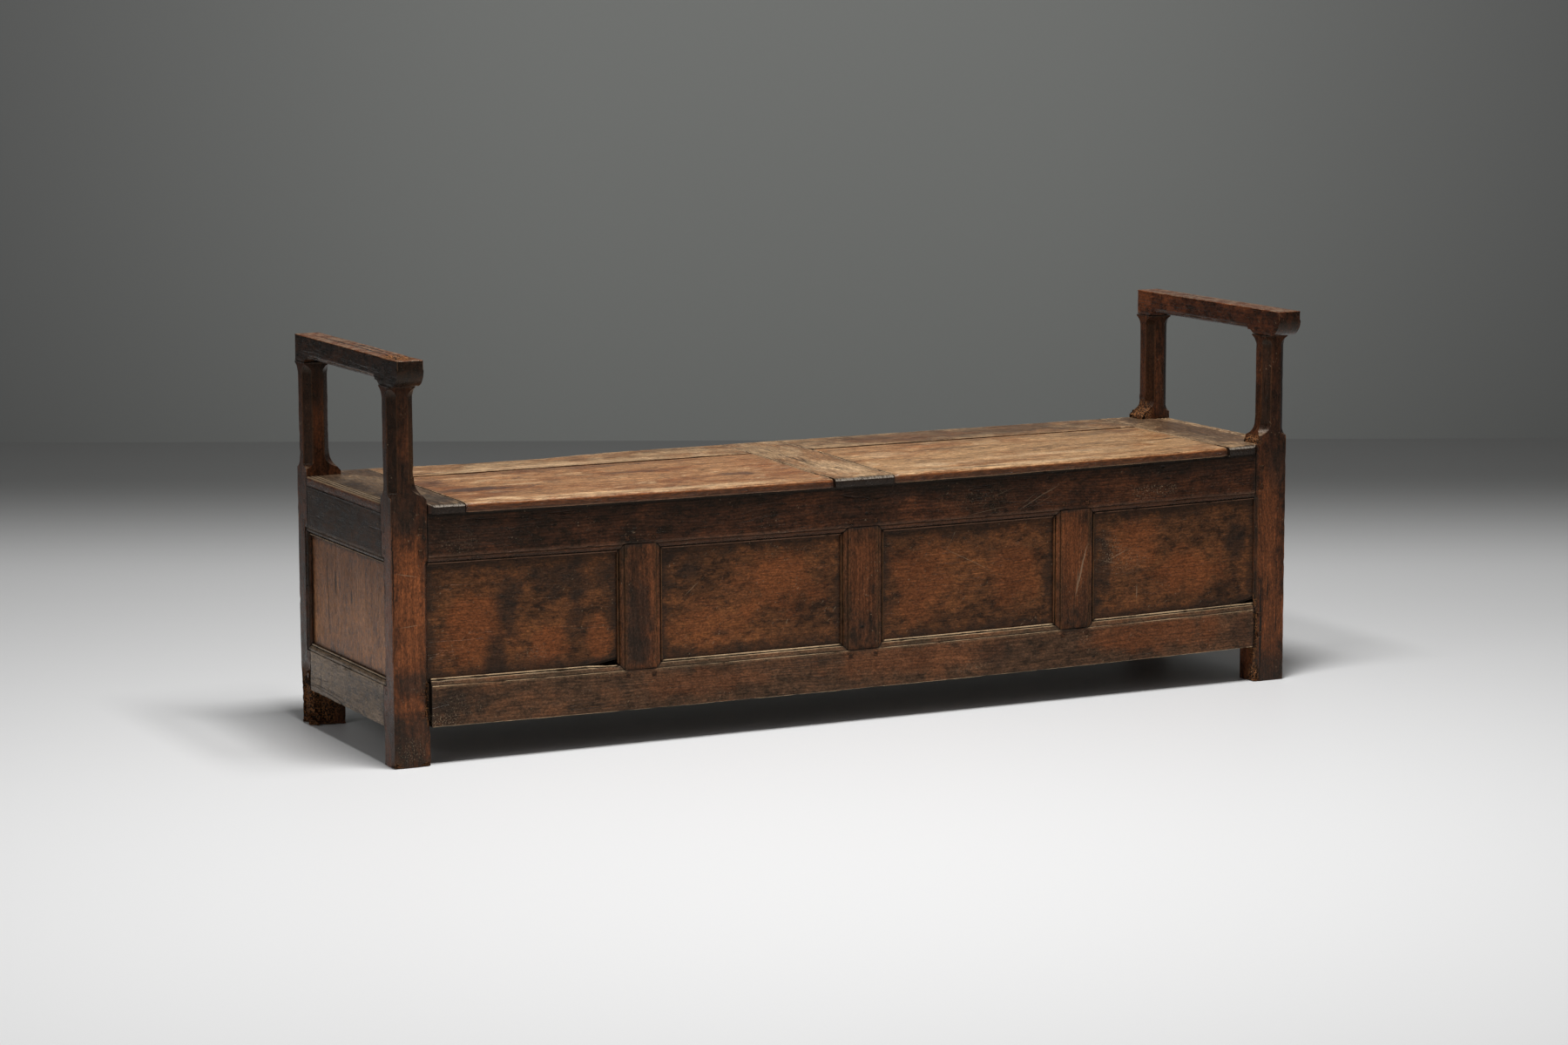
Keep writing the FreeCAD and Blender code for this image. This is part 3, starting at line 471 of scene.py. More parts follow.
HOLES = {
    "top_rail": [(0.678, 0.4575, 0.0055, 0.003), (0.683, 0.397, 0.003, 0.0025),
                 (0.009, 0.409, 0.004, 0.004)],
    "bottom_rail": [(0.52, 0.085, 0.006, 0.002)],
    "muntin": [(0.0, 0.188, 0.005, 0.004)],
}
BLOT_DEPTH = 0.12
HOLE_DEPTH = 0.01


# Coats of colour, and the oak finishes

class Coat:
    """A colour that is built up in layers."""

    def __init__(self, tree, first):
        self.tree, self.colour = tree, first

    def lay(self, over, share, blend="MIX"):
        """Lays a colour on, as far as share says."""
        under, over = (tint if isinstance(tint, Value) else (*tint[:3], 1) for tint in (self.colour, over))
        layers = {0: share, 6: under, 7: over}
        self.colour = put(self.tree, "Mix", layers, 2, data_type="RGBA", blend_type=blend)

    def shade(self, value, steps, greys, share=1.0):
        """Multiplies by a grey, which goes from one to another while a value runs between two steps."""
        self.lay(value.ramp(*steps, *greys).tripled(), share, "MULTIPLY")


def new_tree(name):
    """The empty node tree of a new material."""
    material = bpy.data.materials.new(name)
    material.use_nodes = True
    material.node_tree.nodes.clear()
    return material.node_tree


def end_tree(tree, shader):
    """Gives a material its shader."""
    tree.links.new(shader.socket, tree.nodes.new("ShaderNodeOutputMaterial").inputs[0])


class Oak(Coat):
    """An oak finish in the making: the effects in its material, and the coat that is built up over them."""

    def __init__(self, kind, ending, first, seed, old_seed, spacing, halo, rub):
        super().__init__(new_tree(kind + ending), first)
        self.kind, self.tints = kind, bpy.context.scene.bench_colours
        self.figure = effect(self.tree, "oak_figure", {"Spacing": spacing, "Seed": seed})
        self.old = effect(self.tree, "old_finish", {"Seed": old_seed})
        self.grime = effect(self.tree, "joint_grime", {"Halo": halo})
        self.rubbed = effect(self.tree, "arris_wear", {"Width": rub})["Mask"]
        self.place = object_place(self.tree)
        self.x, self.y, self.z = self.place.parts()
        self.grain, self.up = attribute(self.tree, "grain"), attribute(self.tree, "up")
        self.cracks = 0.0

    def blot(self, centre, reach, ragged):
        return effect(self.tree, "blot", {"Centre": centre, "Reach": reach, "Raggedness": ragged})["Mask"]

    def crack(self, centre, along, across, long, wide):
        return effect(self.tree, "crack", {"Centre": centre, "Along": along, "Across": across, "Length": long,
                                           "Width": wide})["Mask"]

    def blots(self, over, table, flat=False):
        """Lays the blots of one colour on: upright on the front, or flat on the seat."""
        for x, other, wide, high, strength in table.get(self.kind, ()):
            centre = (x, other, SEAT_TOP) if flat else (x, POST_FACE, other)
            reach = (wide, high, BLOT_DEPTH) if flat else (wide, BLOT_DEPTH, high)
            self.lay(over, self.blot(centre, reach, 0.6) * strength)

    def dusted(self):
        """Lays the patches of pale specks on."""
        speckle = self.place.cloud(300, 5, 0.75).ramp(0.55, 0.63)
        for x, z, wide, high, strength in DUST_BLOTS.get(self.kind, ()):
            patch = self.blot((x, POST_FACE, z), (wide, BLOT_DEPTH, high), 0.7)
            self.lay(self.tints.dust, speckle * patch * strength)

    def scraped(self):
        """Lays the pale scrapes on."""
        masks = []
        for x, z, tilt, long, wide, strength in SCRAPES.get(self.kind, ()):
            cosine, sine = math.cos(math.radians(tilt)), math.sin(math.radians(tilt))
            scrape = self.crack((x, POST_FACE, z), (cosine, 0, sine), (-sine, 0, cosine), long, wide)
            masks.append(scrape * strength)
        if masks:
            self.lay(self.tints.dust, strongest(masks))

    def cracked(self):
        """Lays the cracks and holes on, and keeps their mask for the relief."""
        masks = [self.crack(*row) for row in CRACKS.get(self.kind, ())]
        masks += [self.blot((x, POST_FACE, z), (wide, HOLE_DEPTH, high), 0.1)
                  for x, z, wide, high in HOLES.get(self.kind, ())]
        if masks:
            self.cracks = strongest(masks)
            self.lay(self.tints.black, self.cracks)

    def relief(self):
        """The fine relief of weathered oak."""
        figure, old = self.figure, self.old
        raised = (figure["Streaks"] * 0.35 + figure["Fibres"] * 0.25 + old["Mottle"] * 0.3
                  + old["Speckle"] * 0.3 - figure["Pores"] * 0.25)
        return raised - (figure["Checks"] + self.cracks)

    def finish(self, roughness, height, depth, gloss, sheen):
        """Ends the material with a shader whose sheen the old wax tints."""
        bump = put(self.tree, "Bump", {"Height": height, "Strength": 1.0, "Distance": depth})
        end_tree(self.tree, put(self.tree, "BsdfPrincipled", {
            "Base Color": self.colour, "Roughness": roughness, "Normal": bump, "Specular IOR Level": gloss,
            "Specular Tint": (*sheen, 1)}))


FINE = (0.4, 0.6)


def handled(oak, dark):
    """Darkens parts of a framing piece: painted shade on the posts above the seat, painted reflection as well
    as old finish on their chamfers, the end panel darker towards its top, and painted shadow of the lids on
    the top rail.
    """
    if oak.kind == "post":
        # painted shade: the posts darker from just below the seat upwards
        oak.lay(dark, oak.z.ramp(SEAT_TOP - 0.1, SEAT_TOP + 0.03, 0, 0.6))
        # the chamfer facets darker: old finish, and a painted reflection
        oak.lay(dark, attribute(oak.tree, "slant").ramp(0.3, 0.9, 0, 0.75))
    if oak.kind == "end_panel":
        # the end panel darker towards its top
        oak.lay(dark, oak.z.ramp(0.2, 0.37, 0, 0.6))
    if oak.kind == "top_rail":
        # painted shadow of the lids' nosing, darkest in a black line just under it, following the rail's sag
        top = BOXES["front_top_rail"][1].z
        along = oak.x / INNER
        level = oak.z + (1.0 - along * along) * bpy.context.scene.bench_wear.sag
        oak.lay(dark, level.ramp(top - 0.03, top - 0.004, 0, 0.5))
        oak.lay(oak.tints.black, level.ramp(top - 0.008, top - 0.004, 0, 0.9))


def waxed_oak(kind, seed, tones, red=0.3, halo=0.02, dusty=0.4, worn=(150, 112, 80), lines=0.5, topping=0.0,
              gloss=0.16, edges=0.35, rub=0.004, split=0.6, moulded=0.0):
    """Old waxed oak for one kind of framing piece.

    tones are the dark, middle and light of its mottle, red the share of red patches, halo the width of the
    dirt and painted shade round its joints, dusty the dust on its ledges, worn the colour of its rubbed
    edges, which also paints their highlight, and edges their strength, lines the strength of its grain,
    topping how red its upper faces are, gloss its sheen, rub the width of its rubbed edges, split the
    strength of its checks and moulded how far its mouldings are rubbed and carry painted highlight.
    """
    dark, middle, light = (paint(*tone) for tone in tones)
    worn = paint(*worn)
    oak = Oak(kind, "_wax", dark, seed, seed * 1.7, 0.0055, halo, rub)
    tints, figure, old, grime, up, place = oak.tints, oak.figure, oak.old, oak.grime, oak.up, oak.place
    tone = old["Mottle"] * 0.55 + old["Patches"] * 0.45
    oak.lay(middle, tone.ramp(0.38, 0.52))
    oak.lay(light, tone.ramp(0.5, 0.64))
    oak.lay(tints.russet, (old["Patches"] + old["Mottle"] * 0.5).ramp(0.7, 0.9) * red)
    oak.blots(tints.russet, RUSSET_BLOTS)
    if topping:
        oak.lay(tints.russet, up.ramp(0.4, 0.9, 0, topping))
    oak.blots(tints.soot, SOOT_BLOTS)
    handled(oak, dark)
    oak.lay(dark, old["Mottle"].ramp(0.57, 0.66) * 0.5)
    oak.shade(figure["Rings"] * 0.25 + figure["Streaks"] * 0.95, (0.35, 0.85), (0.5, 1.45), lines)
    oak.shade(figure["Fibres"], (0.3, 0.7), (0.7, 1.3), 0.55)
    oak.shade(figure["Flecks"], FINE, (0.84, 1.16))
    oak.shade(old["Speckle"], (0.36, 0.64), (0.58, 1.42))
    oak.lay(tints.black, figure["Pores"] * 0.5)
    oak.lay(tints.black, figure["Checks"] * split)
    # dirt and painted shade round the joints
    oak.lay(tints.soot, grime["Halo"] * 0.7)
    # the mouldings paler: wear and painted highlight
    oak.lay(worn, grime["Moulded"] * old["Speckle"].ramp(0.35, 0.6, 0.4, 1) * moulded)
    # the arrises paler: wear and painted highlight, more on the faces that look up
    rubbed = oak.rubbed * grime["Free"]
    oak.lay(worn, rubbed * edges)
    oak.lay(worn, rubbed * up.ramp(-0.05, 0.55) * 0.8)
    oak.lay(tints.dust, up.ramp(0.5, 0.9) * place.cloud(60, 5, 0.7).ramp(0.42, 0.62) * dusty)
    oak.lay(tints.dust, old["Specks"] * 0.28 + old["Scratches"] * 0.4)
    raw = attribute(oak.tree, "raw") * place.cloud(45, 4).ramp(0.3, 0.5)
    holes = place.cloud(330, 2).ramp(0.45, 0.54)
    crumbs = Coat(oak.tree, tints.black)
    crumbs.lay(tints.raw, holes)
    oak.lay(crumbs.colour, raw)
    # painted shade: black in the quirks and inner corners
    oak.lay(tints.black, grime["Quirk"] * 0.8)
    oak.lay(tints.black, grime["Line"] * 0.85)
    oak.dusted()
    oak.scraped()
    oak.cracked()
    rough = old["Mottle"].ramp(0.3, 0.7, 0.2, 0.4) + (raw + grime["Line"]) * 0.4
    oak.finish(rough, oak.relief() + raw * holes * 1.5, 0.0009, gloss, (1, 0.86, 0.7))


def ridged(oak, strength):
    """Pale ridges and black grooves along the outer edge of an end board: dust and a painted highlight on the
    ridges, and painted shade in the grooves.
    """
    inside = SEAT_END - abs(oak.x)
    wave = (inside * (math.tau / RIDGE_PITCH)).math("SINE") + (oak.old["Speckle"] - 0.5) * 5
    band = inside.ramp(0.024, 0.028, 1, 0) * oak.up.ramp(0.3, 0.7, 0, strength)
    # dust and painted highlight on the ridges
    oak.lay(oak.tints.dust, band * wave.ramp(-0.2, 0.5))
    # painted shade in the grooves
    oak.lay(oak.tints.black, band * wave.ramp(-0.9, -0.2, 1, 0))


def slated(oak, strength):
    """Grey-black front ends, darker on their upright face, with a painted grey highlight along their top
    edge.
    """
    up, tints, flecks = oak.up, oak.tints, oak.figure["Flecks"]
    slate = Coat(oak.tree, tints.black)
    slate.lay(tints.slate, flecks.ramp(0.36, 0.6))
    # darker on the upright end face
    slate.lay(tints.black, up.ramp(0, 0.5, 0.25, 0))
    ragged = oak.old["Mottle"] * 0.024 + oak.y
    oak.lay(slate.colour, ragged.ramp(POST_FACE + 0.004, POST_FACE + 0.016, strength, 0))
    # painted highlight along the top edge of the front end
    level = up.ramp(*FINE) * up.ramp(0.8, 0.97, 0.9, 0)
    edge = oak.y.ramp(POST_FACE - 0.002, POST_FACE + 0.005, 1, 0) * level
    oak.lay(tints.silver, edge * flecks.ramp(0.42, 0.54, 0.2, 1))


def rubbed_oak(kind, seed, tones, streaks=0.6, front=0.0, ridges=0.0):
    """Rubbed seat oak.

    tones are its plain, red, dark and pale colours, streaks sets the contrast of its dark streaks, front how
    black its front end is and ridges how much the ridges of its outer edge stand out.
    """
    plain, red, dark, pale = (paint(*tone) for tone in tones)
    oak = Oak(kind, "_rubbed", plain, seed, seed * 2.3, 0.008, 0.012, 0.003)
    tints, figure, old, grime, up = oak.tints, oak.figure, oak.old, oak.grime, oak.up
    broad = oak.grain.cloud((5, 8, 8), 8, 0.62, 0.8)
    cloudy = oak.grain.cloud((12, 19, 19), 10, 0.68, 0.5)
    hair = oak.grain.cloud((26, 64, 64), 6, 0.75)
    rows = figure["Rings"] * 0.12 + figure["Streaks"]
    oak.lay(red, broad.ramp(0.44, 0.58))
    oak.lay(dark, cloudy.ramp(0.54, 0.7, 0, streaks))
    oak.lay(pale, cloudy.ramp(0.45, 0.33, 0, 0.5))
    oak.blots(dark, SEAT_SOOT, flat=True)
    oak.blots(tints.russet, SEAT_RUSSET, flat=True)
    oak.blots(pale, SEAT_PALE, flat=True)
    oak.shade(rows, (0.38, 0.74), (0.62, 1.3), 0.45)
    oak.shade(hair, FINE, (0.86, 1.12))
    oak.shade(figure["Fibres"], FINE, (0.76, 1.2), 0.8)
    oak.shade(figure["Flecks"], FINE, (0.74, 1.24))
    oak.shade(old["Speckle"], FINE, (0.8, 1.2))
    oak.lay(pale, figure["Flecks"].ramp(0.6, 0.68) * old["Mottle"].ramp(0.48, 0.56) * 0.5)
    oak.lay(dark, figure["Pores"] * 0.5)
    oak.lay(tints.black, figure["Checks"] * 0.85)
    if ridges:
        ridged(oak, ridges)
    # the faces that look down: darker and duller
    dull = Coat(oak.tree, blended(plain, dark, 0.55))
    dull.lay(dark, broad.ramp(0.36, 0.66, 0, 0.4))
    dull.shade(rows, (0.34, 0.8), (0.7, 1.3), 0.8)
    dull.shade(figure["Flecks"], FINE, (0.8, 1.2))
    oak.lay(dull.colour, up.ramp(-0.7, -0.3, 1, 0))
    # the side faces, such as the lids' noses: their own russet colour with painted shade, darker towards
    # their lower part
    side = up.ramp(0.35, 0.74, 1, 0) * up.ramp(-0.7, -0.3)
    nose_colour_and_shade = Coat(oak.tree, blended(tints.russet, tints.black, 0.7))
    nose_colour_and_shade.lay(blended(tints.russet, red, 0.15), up.ramp(-0.1, 0.55))
    nose_colour_and_shade.shade(figure["Flecks"], (0.42, 0.6), (0.6, 1.4))
    oak.lay(nose_colour_and_shade.colour, side * 0.96)
    # painted highlight on the faces that slope just off the top, such as the upper round of the lids' noses
    oak.lay(pale, abs(up - 0.84).ramp(0.03, 0.14, 1, 0) * hair.ramp(0.44, 0.54, 0.2, 0.95))
    # dirt and painted shade along the seams
    oak.lay(blended(dark, tints.black, 0.4), grime["Halo"] * 0.6)
    oak.lay(pale, oak.rubbed * up.ramp(0.15, 0.6) * old["Speckle"].ramp(0.44, 0.52, 0.2, 0.75))
    if front:
        slated(oak, front)
    oak.lay(tints.soot, old["Specks"] * 0.4)
    if kind.startswith("lid"):
        # painted shadow along the lid's back edge, where the back board stands proud of it
        seam_shadow = (hair - 0.5) * 0.03 + oak.y
        oak.lay(tints.black, seam_shadow.ramp(HINGE - 0.003, HINGE + 0.002, 0, 0.95))
    oak.lay(tints.black, grime["Line"] * up.ramp(-0.7, -0.3, 0.45, 0.92))
    oak.cracked()
    rough = old["Mottle"].ramp(0.3, 0.7, 0.3, 0.55) - side * 0.12
    oak.finish(rough, oak.relief(), 0.0014, 0.27, (1, 0.93, 0.85))


def forged_iron():
    """Dark forged iron with a little rust."""
    tints = bpy.context.scene.bench_colours
    tree = new_tree("forged_iron")
    place = object_place(tree)
    rust = place.cloud(160, 5, 0.65).ramp(0.5, 0.7)
    coat = Coat(tree, tints.iron)
    coat.lay(tints.rust, rust)
    bump = put(tree, "Bump", {"Height": place.cloud(420), "Strength": 0.6, "Distance": 0.0005})
    end_tree(tree, put(tree, "BsdfPrincipled", {
        "Base Color": coat.colour, "Metallic": rust.ramp(0, 1, 0.85, 0.2),
        "Roughness": rust.ramp(0, 1, 0.45, 0.8), "Normal": bump}))


WAXED = {
    "post": dict(seed=3.1, tones=((26, 14, 8), (66, 35, 19), (108, 57, 28)), red=0.5, halo=0.004,
                 worn=(122, 78, 48), gloss=0.24, edges=0.12, rub=0.0025, split=0.5),
    "top_rail": dict(seed=0.4, tones=((27, 17, 11), (54, 31, 20), (78, 45, 28)), red=0.15, halo=0.008,
                     worn=(128, 94, 74), lines=0.7, rub=0.0016, edges=0.5, moulded=0.22),
    # the near-white worn colour paints the highlight along the bottom rail's moulding, with its wear
    "bottom_rail": dict(seed=1.2, tones=((48, 34, 24), (80, 56, 40), (106, 73, 50)), red=0.2, halo=0.006,
                        worn=(222, 190, 150), dusty=0.1, edges=0.75, rub=0.0012, moulded=0.07),
    "muntin": dict(seed=2.2, tones=((38, 25, 17), (72, 43, 27), (100, 58, 35)), red=0.25, halo=0.006,
                   worn=(104, 74, 46), rub=0.0016, edges=0.4, moulded=0.12),
    "peg": dict(seed=2.9, tones=((36, 23, 15), (56, 34, 22), (80, 48, 30)), red=0.1, halo=0.001, edges=0),
    "panel": dict(seed=5.2, tones=((42, 26, 17), (84, 52, 31), (124, 80, 46)), red=0.35, halo=0.03,
                  lines=0.25, split=0),
    "end_panel": dict(seed=8.3, tones=((88, 54, 34), (144, 97, 63), (178, 124, 82)), red=0.1, halo=0.012,
                      lines=0.45, split=0.2),
    "end_rail": dict(seed=6.4, tones=((62, 49, 38), (112, 94, 76), (146, 125, 102)), red=0.05, halo=0.006,
                     worn=(178, 152, 122), rub=0.0016, moulded=0.1),
    "end_top_rail": dict(seed=7.7, tones=((22, 13, 7), (42, 27, 17), (64, 43, 28)), red=0.1, halo=0.008,
                         worn=(150, 122, 94), rub=0.0016, edges=0.5, moulded=0.1, gloss=0.1),
    "arm_left": dict(seed=9.4, tones=((13, 7, 4), (27, 15, 8), (50, 29, 15)), red=0.1, halo=0.002,
                     topping=0.6, gloss=0.2, edges=0.25, rub=0.002),
    "arm_right": dict(seed=10.7, tones=((26, 12, 5), (56, 27, 13), (86, 44, 21)), red=0.4, halo=0.002,
                      topping=0.5, gloss=0.26, edges=0.25, rub=0.002),
}
RUBBED = {
    "lid_left": dict(seed=1.3, tones=((158, 114, 77), (130, 84, 52), (62, 46, 42), (204, 170, 130)),
                     streaks=0.85),
    "lid_right": dict(seed=2.6, tones=((170, 131, 92), (147, 103, 67), (86, 62, 45), (210, 176, 136)),
                      streaks=0.65),
    "board": dict(seed=4.4, tones=((160, 128, 94), (136, 98, 66), (76, 57, 43), (204, 170, 132)),
                  streaks=0.65, front=0.97),
    "end_board": dict(seed=5.6, tones=((92, 72, 54), (76, 57, 42), (42, 33, 27), (132, 108, 82)), streaks=0.7,
                      front=0.97, ridges=0.9),
}


# Worn copies of the wooden pieces, with sizes in metres

ARRIS_TURN = math.radians(24)
SHADE_TURN = math.radians(38)
FLAT_TURN = math.radians(0.6)
DOUBLES = 2e-5
ON_PLANE = 1e-6
LEVEL = 1e-4
SHORTEST_ARRIS = 0.011
LONG_ARRIS = 0.1
ARRIS_REACH = 0.02
JOINT_REACH = 0.045
ARRIS_STRIPS = (0.0013, 0.005)
NARROWEST = 0.9 * ARRIS_STRIPS[0]
EDGE_MARGIN = 0.0005
STEPS_PER_METRE = 2000
CRUMB_STEP = 0.004
RUB_REACH = 0.0028
SHELTERED = 0.002
CHIP_REACH = 0.007
UNCHIPPED = 0.62
SAG_BELOW = 0.55
TREES = {}

# Smooth noise on the pieces: its size, and what it adds to the piece's seed

HOLLOWS, RIPPLES, RUBS, CHIPS, CRUMBS = (0.09, 0), (0.014, 5), (0.025, 9), (0.016, 3), (0.007, 2)


def slice_along(bm, axis, places, faces=None):
    """Cuts faces of the mesh across an axis at each place: in the middle first, then each half by itself."""
    if not places:
        return
    faces = bm.faces[:] if faces is None else faces
    middle = len(places) // 2
    normal = Vector((0, 0, 0))
    normal[axis] = 1
    edges = list({edge for face in faces for edge in face.edges})
    verts = list({vert for face in faces for vert in face.verts})
    found = bmesh.ops.bisect_plane(bm, geom=verts + edges + faces, dist=ON_PLANE,
                                   plane_co=normal * places[middle], plane_no=normal)
    halves = {False: [], True: []}
    for face in found["geom"]:
        if isinstance(face, bmesh.types.BMFace):
            halves[face.calc_center_bounds()[axis] > places[middle]].append(face)
    slice_along(bm, axis, places[:middle], halves[False])
    slice_along(bm, axis, places[middle + 1:], halves[True])


def sharp_lines(bm, standing):
    """The ends of the sharp edges: those that stand out, or those in inner corners."""
    found = [[vert.co[:] for vert in edge.verts] for edge in bm.edges
             if edge.is_manifold and edge.is_convex == standing and edge.calc_length() > SHORTEST_ARRIS
             and edge.calc_face_angle(0) > ARRIS_TURN]
    return np.array(found, float).reshape(-1, 2, 3)


def away_from(points, lines, axis):
    """How far each point is from the nearest of some lines, up to ARRIS_REACH; axis is the longest one."""
    order = np.argsort(points[:, axis])
    ranked = points[order]
    nearest = np.full(len(points), ARRIS_REACH)
    for start, end in lines:
        ends = sorted((start[axis], end[axis]))
        first, last = np.searchsorted(ranked[:, axis], [ends[0] - ARRIS_REACH, ends[1] + ARRIS_REACH])
        run = end - start
        away = ranked[first:last] - start
        share = np.clip(away @ run / (run @ run), 0, 1)
        gap = np.sqrt(((away - share[:, None] * run) ** 2).sum(1))
        nearest[first:last] = np.minimum(nearest[first:last], gap)
    result = np.empty(len(points))
    result[order] = nearest
    return result


def away_from_neighbours(node, points):
    """How far each point is from the nearest other piece, up to JOINT_REACH."""
    nearest = np.full(len(points), JOINT_REACH)
    for other, solid in frame["nodes"].items():
        low, high = (np.array(corner) for corner in BOXES[other])
        near = np.all((points > low - JOINT_REACH) & (points < high + JOINT_REACH), axis=1)
        if other == node or "pegs" in other + node or not near.any():
            continue
        if other not in TREES:
            faces = [face.vertices[:] for face in solid.data.polygons]
            TREES[other] = BVHTree.FromPolygons([vert.co[:] for vert in solid.data.vertices], faces)
        for index in np.flatnonzero(near):
            gap = TREES[other].find_nearest(points[index], nearest[index])[3]
            if gap is not None:
                nearest[index] = gap
    return nearest


def cut_places(low, high, cell, lines, axis):
    """Where to cut along an axis: evenly, and close beside the long sharp edges."""
    count = max(1, round((high - low) / cell))
    places = [low + (high - low) * step / count for step in range(1, count)]
    level = np.abs(lines[:, 0, axis] - lines[:, 1, axis]) < LEVEL
    sizes = np.linalg.norm(lines[:, 1] - lines[:, 0], axis=1)
    totals = {}
    for place, size in zip(lines[level, 0, axis], sizes[level]):
        key = round(float(place) * STEPS_PER_METRE) / STEPS_PER_METRE
        totals[key] = totals.get(key, 0) + size
    main = [key for key, total in totals.items() if total > LONG_ARRIS]
    beside = [place + side * margin for place in main for side in (-1, 1) for margin in ARRIS_STRIPS]
    beside = [place for place in beside if low + EDGE_MARGIN < place < high - EDGE_MARGIN
              and min(abs(place - key) for key in main) > NARROWEST]
    chosen = []
    for place in sorted(beside) + sorted(places):
        if all(abs(place - other) > NARROWEST for other in chosen):
            chosen.append(place)
    return sorted(chosen)


def wobble(point, size, seed):
    """Smooth noise from 0 to 1 at a size in metres."""
    return noise.noise(point / size + Vector((seed, seed * 1.3, seed * 0.7))) * 0.5 + 0.5


def ripple(place, size, seed):
    """Smooth noise from 0 to 1 along one axis."""
    return wobble(Vector((place, 0, 0)), size, seed)


def eased(value, low, high):
    """0 below low, 1 above high and a smooth step between them."""
    share = max(0.0, min(1.0, (value - low) / (high - low)))
    return share * share * (3 - 2 * share)


# Places where the wood has crumbled: centre, reach and depth

CRUMBLED = {
    "front_post_left": [((-INNER, POST_FACE, 0.12), (0.012, 0.03, 0.06), 0.0045),
                        ((-INNER - 0.004, POST_FACE, 0), (0.02, 0.02, 0.01), 0.004),
                        ((-0.97, POST_FACE, 0), (0.02, 0.02, 0.014), 0.004)],
    "back_post_left": [((-0.965, BACK - 0.03, 0.03), (0.07, 0.06, 0.1), 0.007),
                       ((-0.965, BACK - 0.045, 0), (0.03, 0.04, 0.035), 0.01)],
    "front_post_right": [((INNER, POST_FACE, 0.11), (0.012, 0.03, 0.08), 0.004),
                         ((INNER, POST_FACE, 0), (0.016, 0.03, 0.05), 0.008),
                         ((INNER, -0.2, SEAT_TOP + 0.005), (0.022, 0.04, 0.016), 0.005)],
    "back_post_right": [((INNER, 0.24, SEAT_TOP + 0.01), (0.035, 0.05, 0.04), 0.005),
                        ((0.97, BACK, 0), (0.03, 0.03, 0.03), 0.006)],
    "arm_left": [((-0.945, -0.21, 0.761), (0.03, 0.06, 0.01), 0.0025)],
}


def cut_up(bm, node, cell, outer, cuts):
    """Cuts a piece up, finely beside its arrises and where it has crumbled, and gives its longest axis."""
    low, high = BOXES[node]
    axes = sorted(range(3), key=lambda axis: low[axis] - high[axis])
    for axis in axes:
        places = cut_places(low[axis], high[axis], cell, outer, axis)
        places += [place for cut_axis, place in cuts if cut_axis == axis]
        slice_along(bm, axis, sorted(place for place in set(places) if low[axis] < place < high[axis]))
    for centre, reach, _ in CRUMBLED.get(node, ()):
        for axis in axes:
            near = [face for face in bm.faces if all(
                abs(a - b) < c + CRUMB_STEP for a, b, c in zip(face.calc_center_bounds(), centre, reach))]
            steps = range(int(-reach[axis] / CRUMB_STEP), int(reach[axis] / CRUMB_STEP) + 1)
            slice_along(bm, axis, [centre[axis] + step * CRUMB_STEP for step in steps], near)
    return axes[0]


def worn_depth(point, arris_gap, joint_gap, seed, arris, chips, warp):
    """How much wood has gone at a point: hollows in the faces, and rubbed and chipped arrises."""
    wear = bpy.context.scene.bench_wear

    def rough(kind):
        return wobble(point, kind[0], seed + kind[1])

    depth = warp * wear.warp * (rough(HOLLOWS) + 0.35 * rough(RIPPLES))
    if arris_gap < CHIP_REACH:
        rub = max(0.0, 1 - arris_gap / RUB_REACH) * (0.3 + 0.7 * min(1.0, joint_gap / SHELTERED))
        depth += arris * wear.arris * rub * (0.4 + 1.4 * rough(RUBS))
        bite = max(0.0, rough(CHIPS) - UNCHIPPED) / (1 - UNCHIPPED)
        depth += chips * wear.chip * bite * (1 - arris_gap / CHIP_REACH)
    return depth


def crumbled_depth(node, point, seed):
    """How much wood has crumbled away at a point, and how bare it is there, from 0 to 1."""
    depth = bare = 0.0
    for centre, reach, most in CRUMBLED.get(node, ()):
        far = math.sqrt(sum(((a - b) / c) ** 2 for a, b, c in zip(point, centre, reach)))
        share = max(0.0, min(1.0, 2.2 * (1 - far)))
        depth += most * share * (0.35 + 1.1 * wobble(point, CRUMBS[0], seed + CRUMBS[1]))
        bare = max(bare, share)
    return depth, bare


def hanging(point):
    """How much of the sag a point takes: most in the middle of the front, and none from the hinges back."""
    if abs(point.x) >= INNER or point.z >= SAG_BELOW:
        return 0.0
    return (1 - eased(point.y, POST_FACE + 0.06, HINGE - 0.01)) * (1 - (point.x / INNER) ** 2)


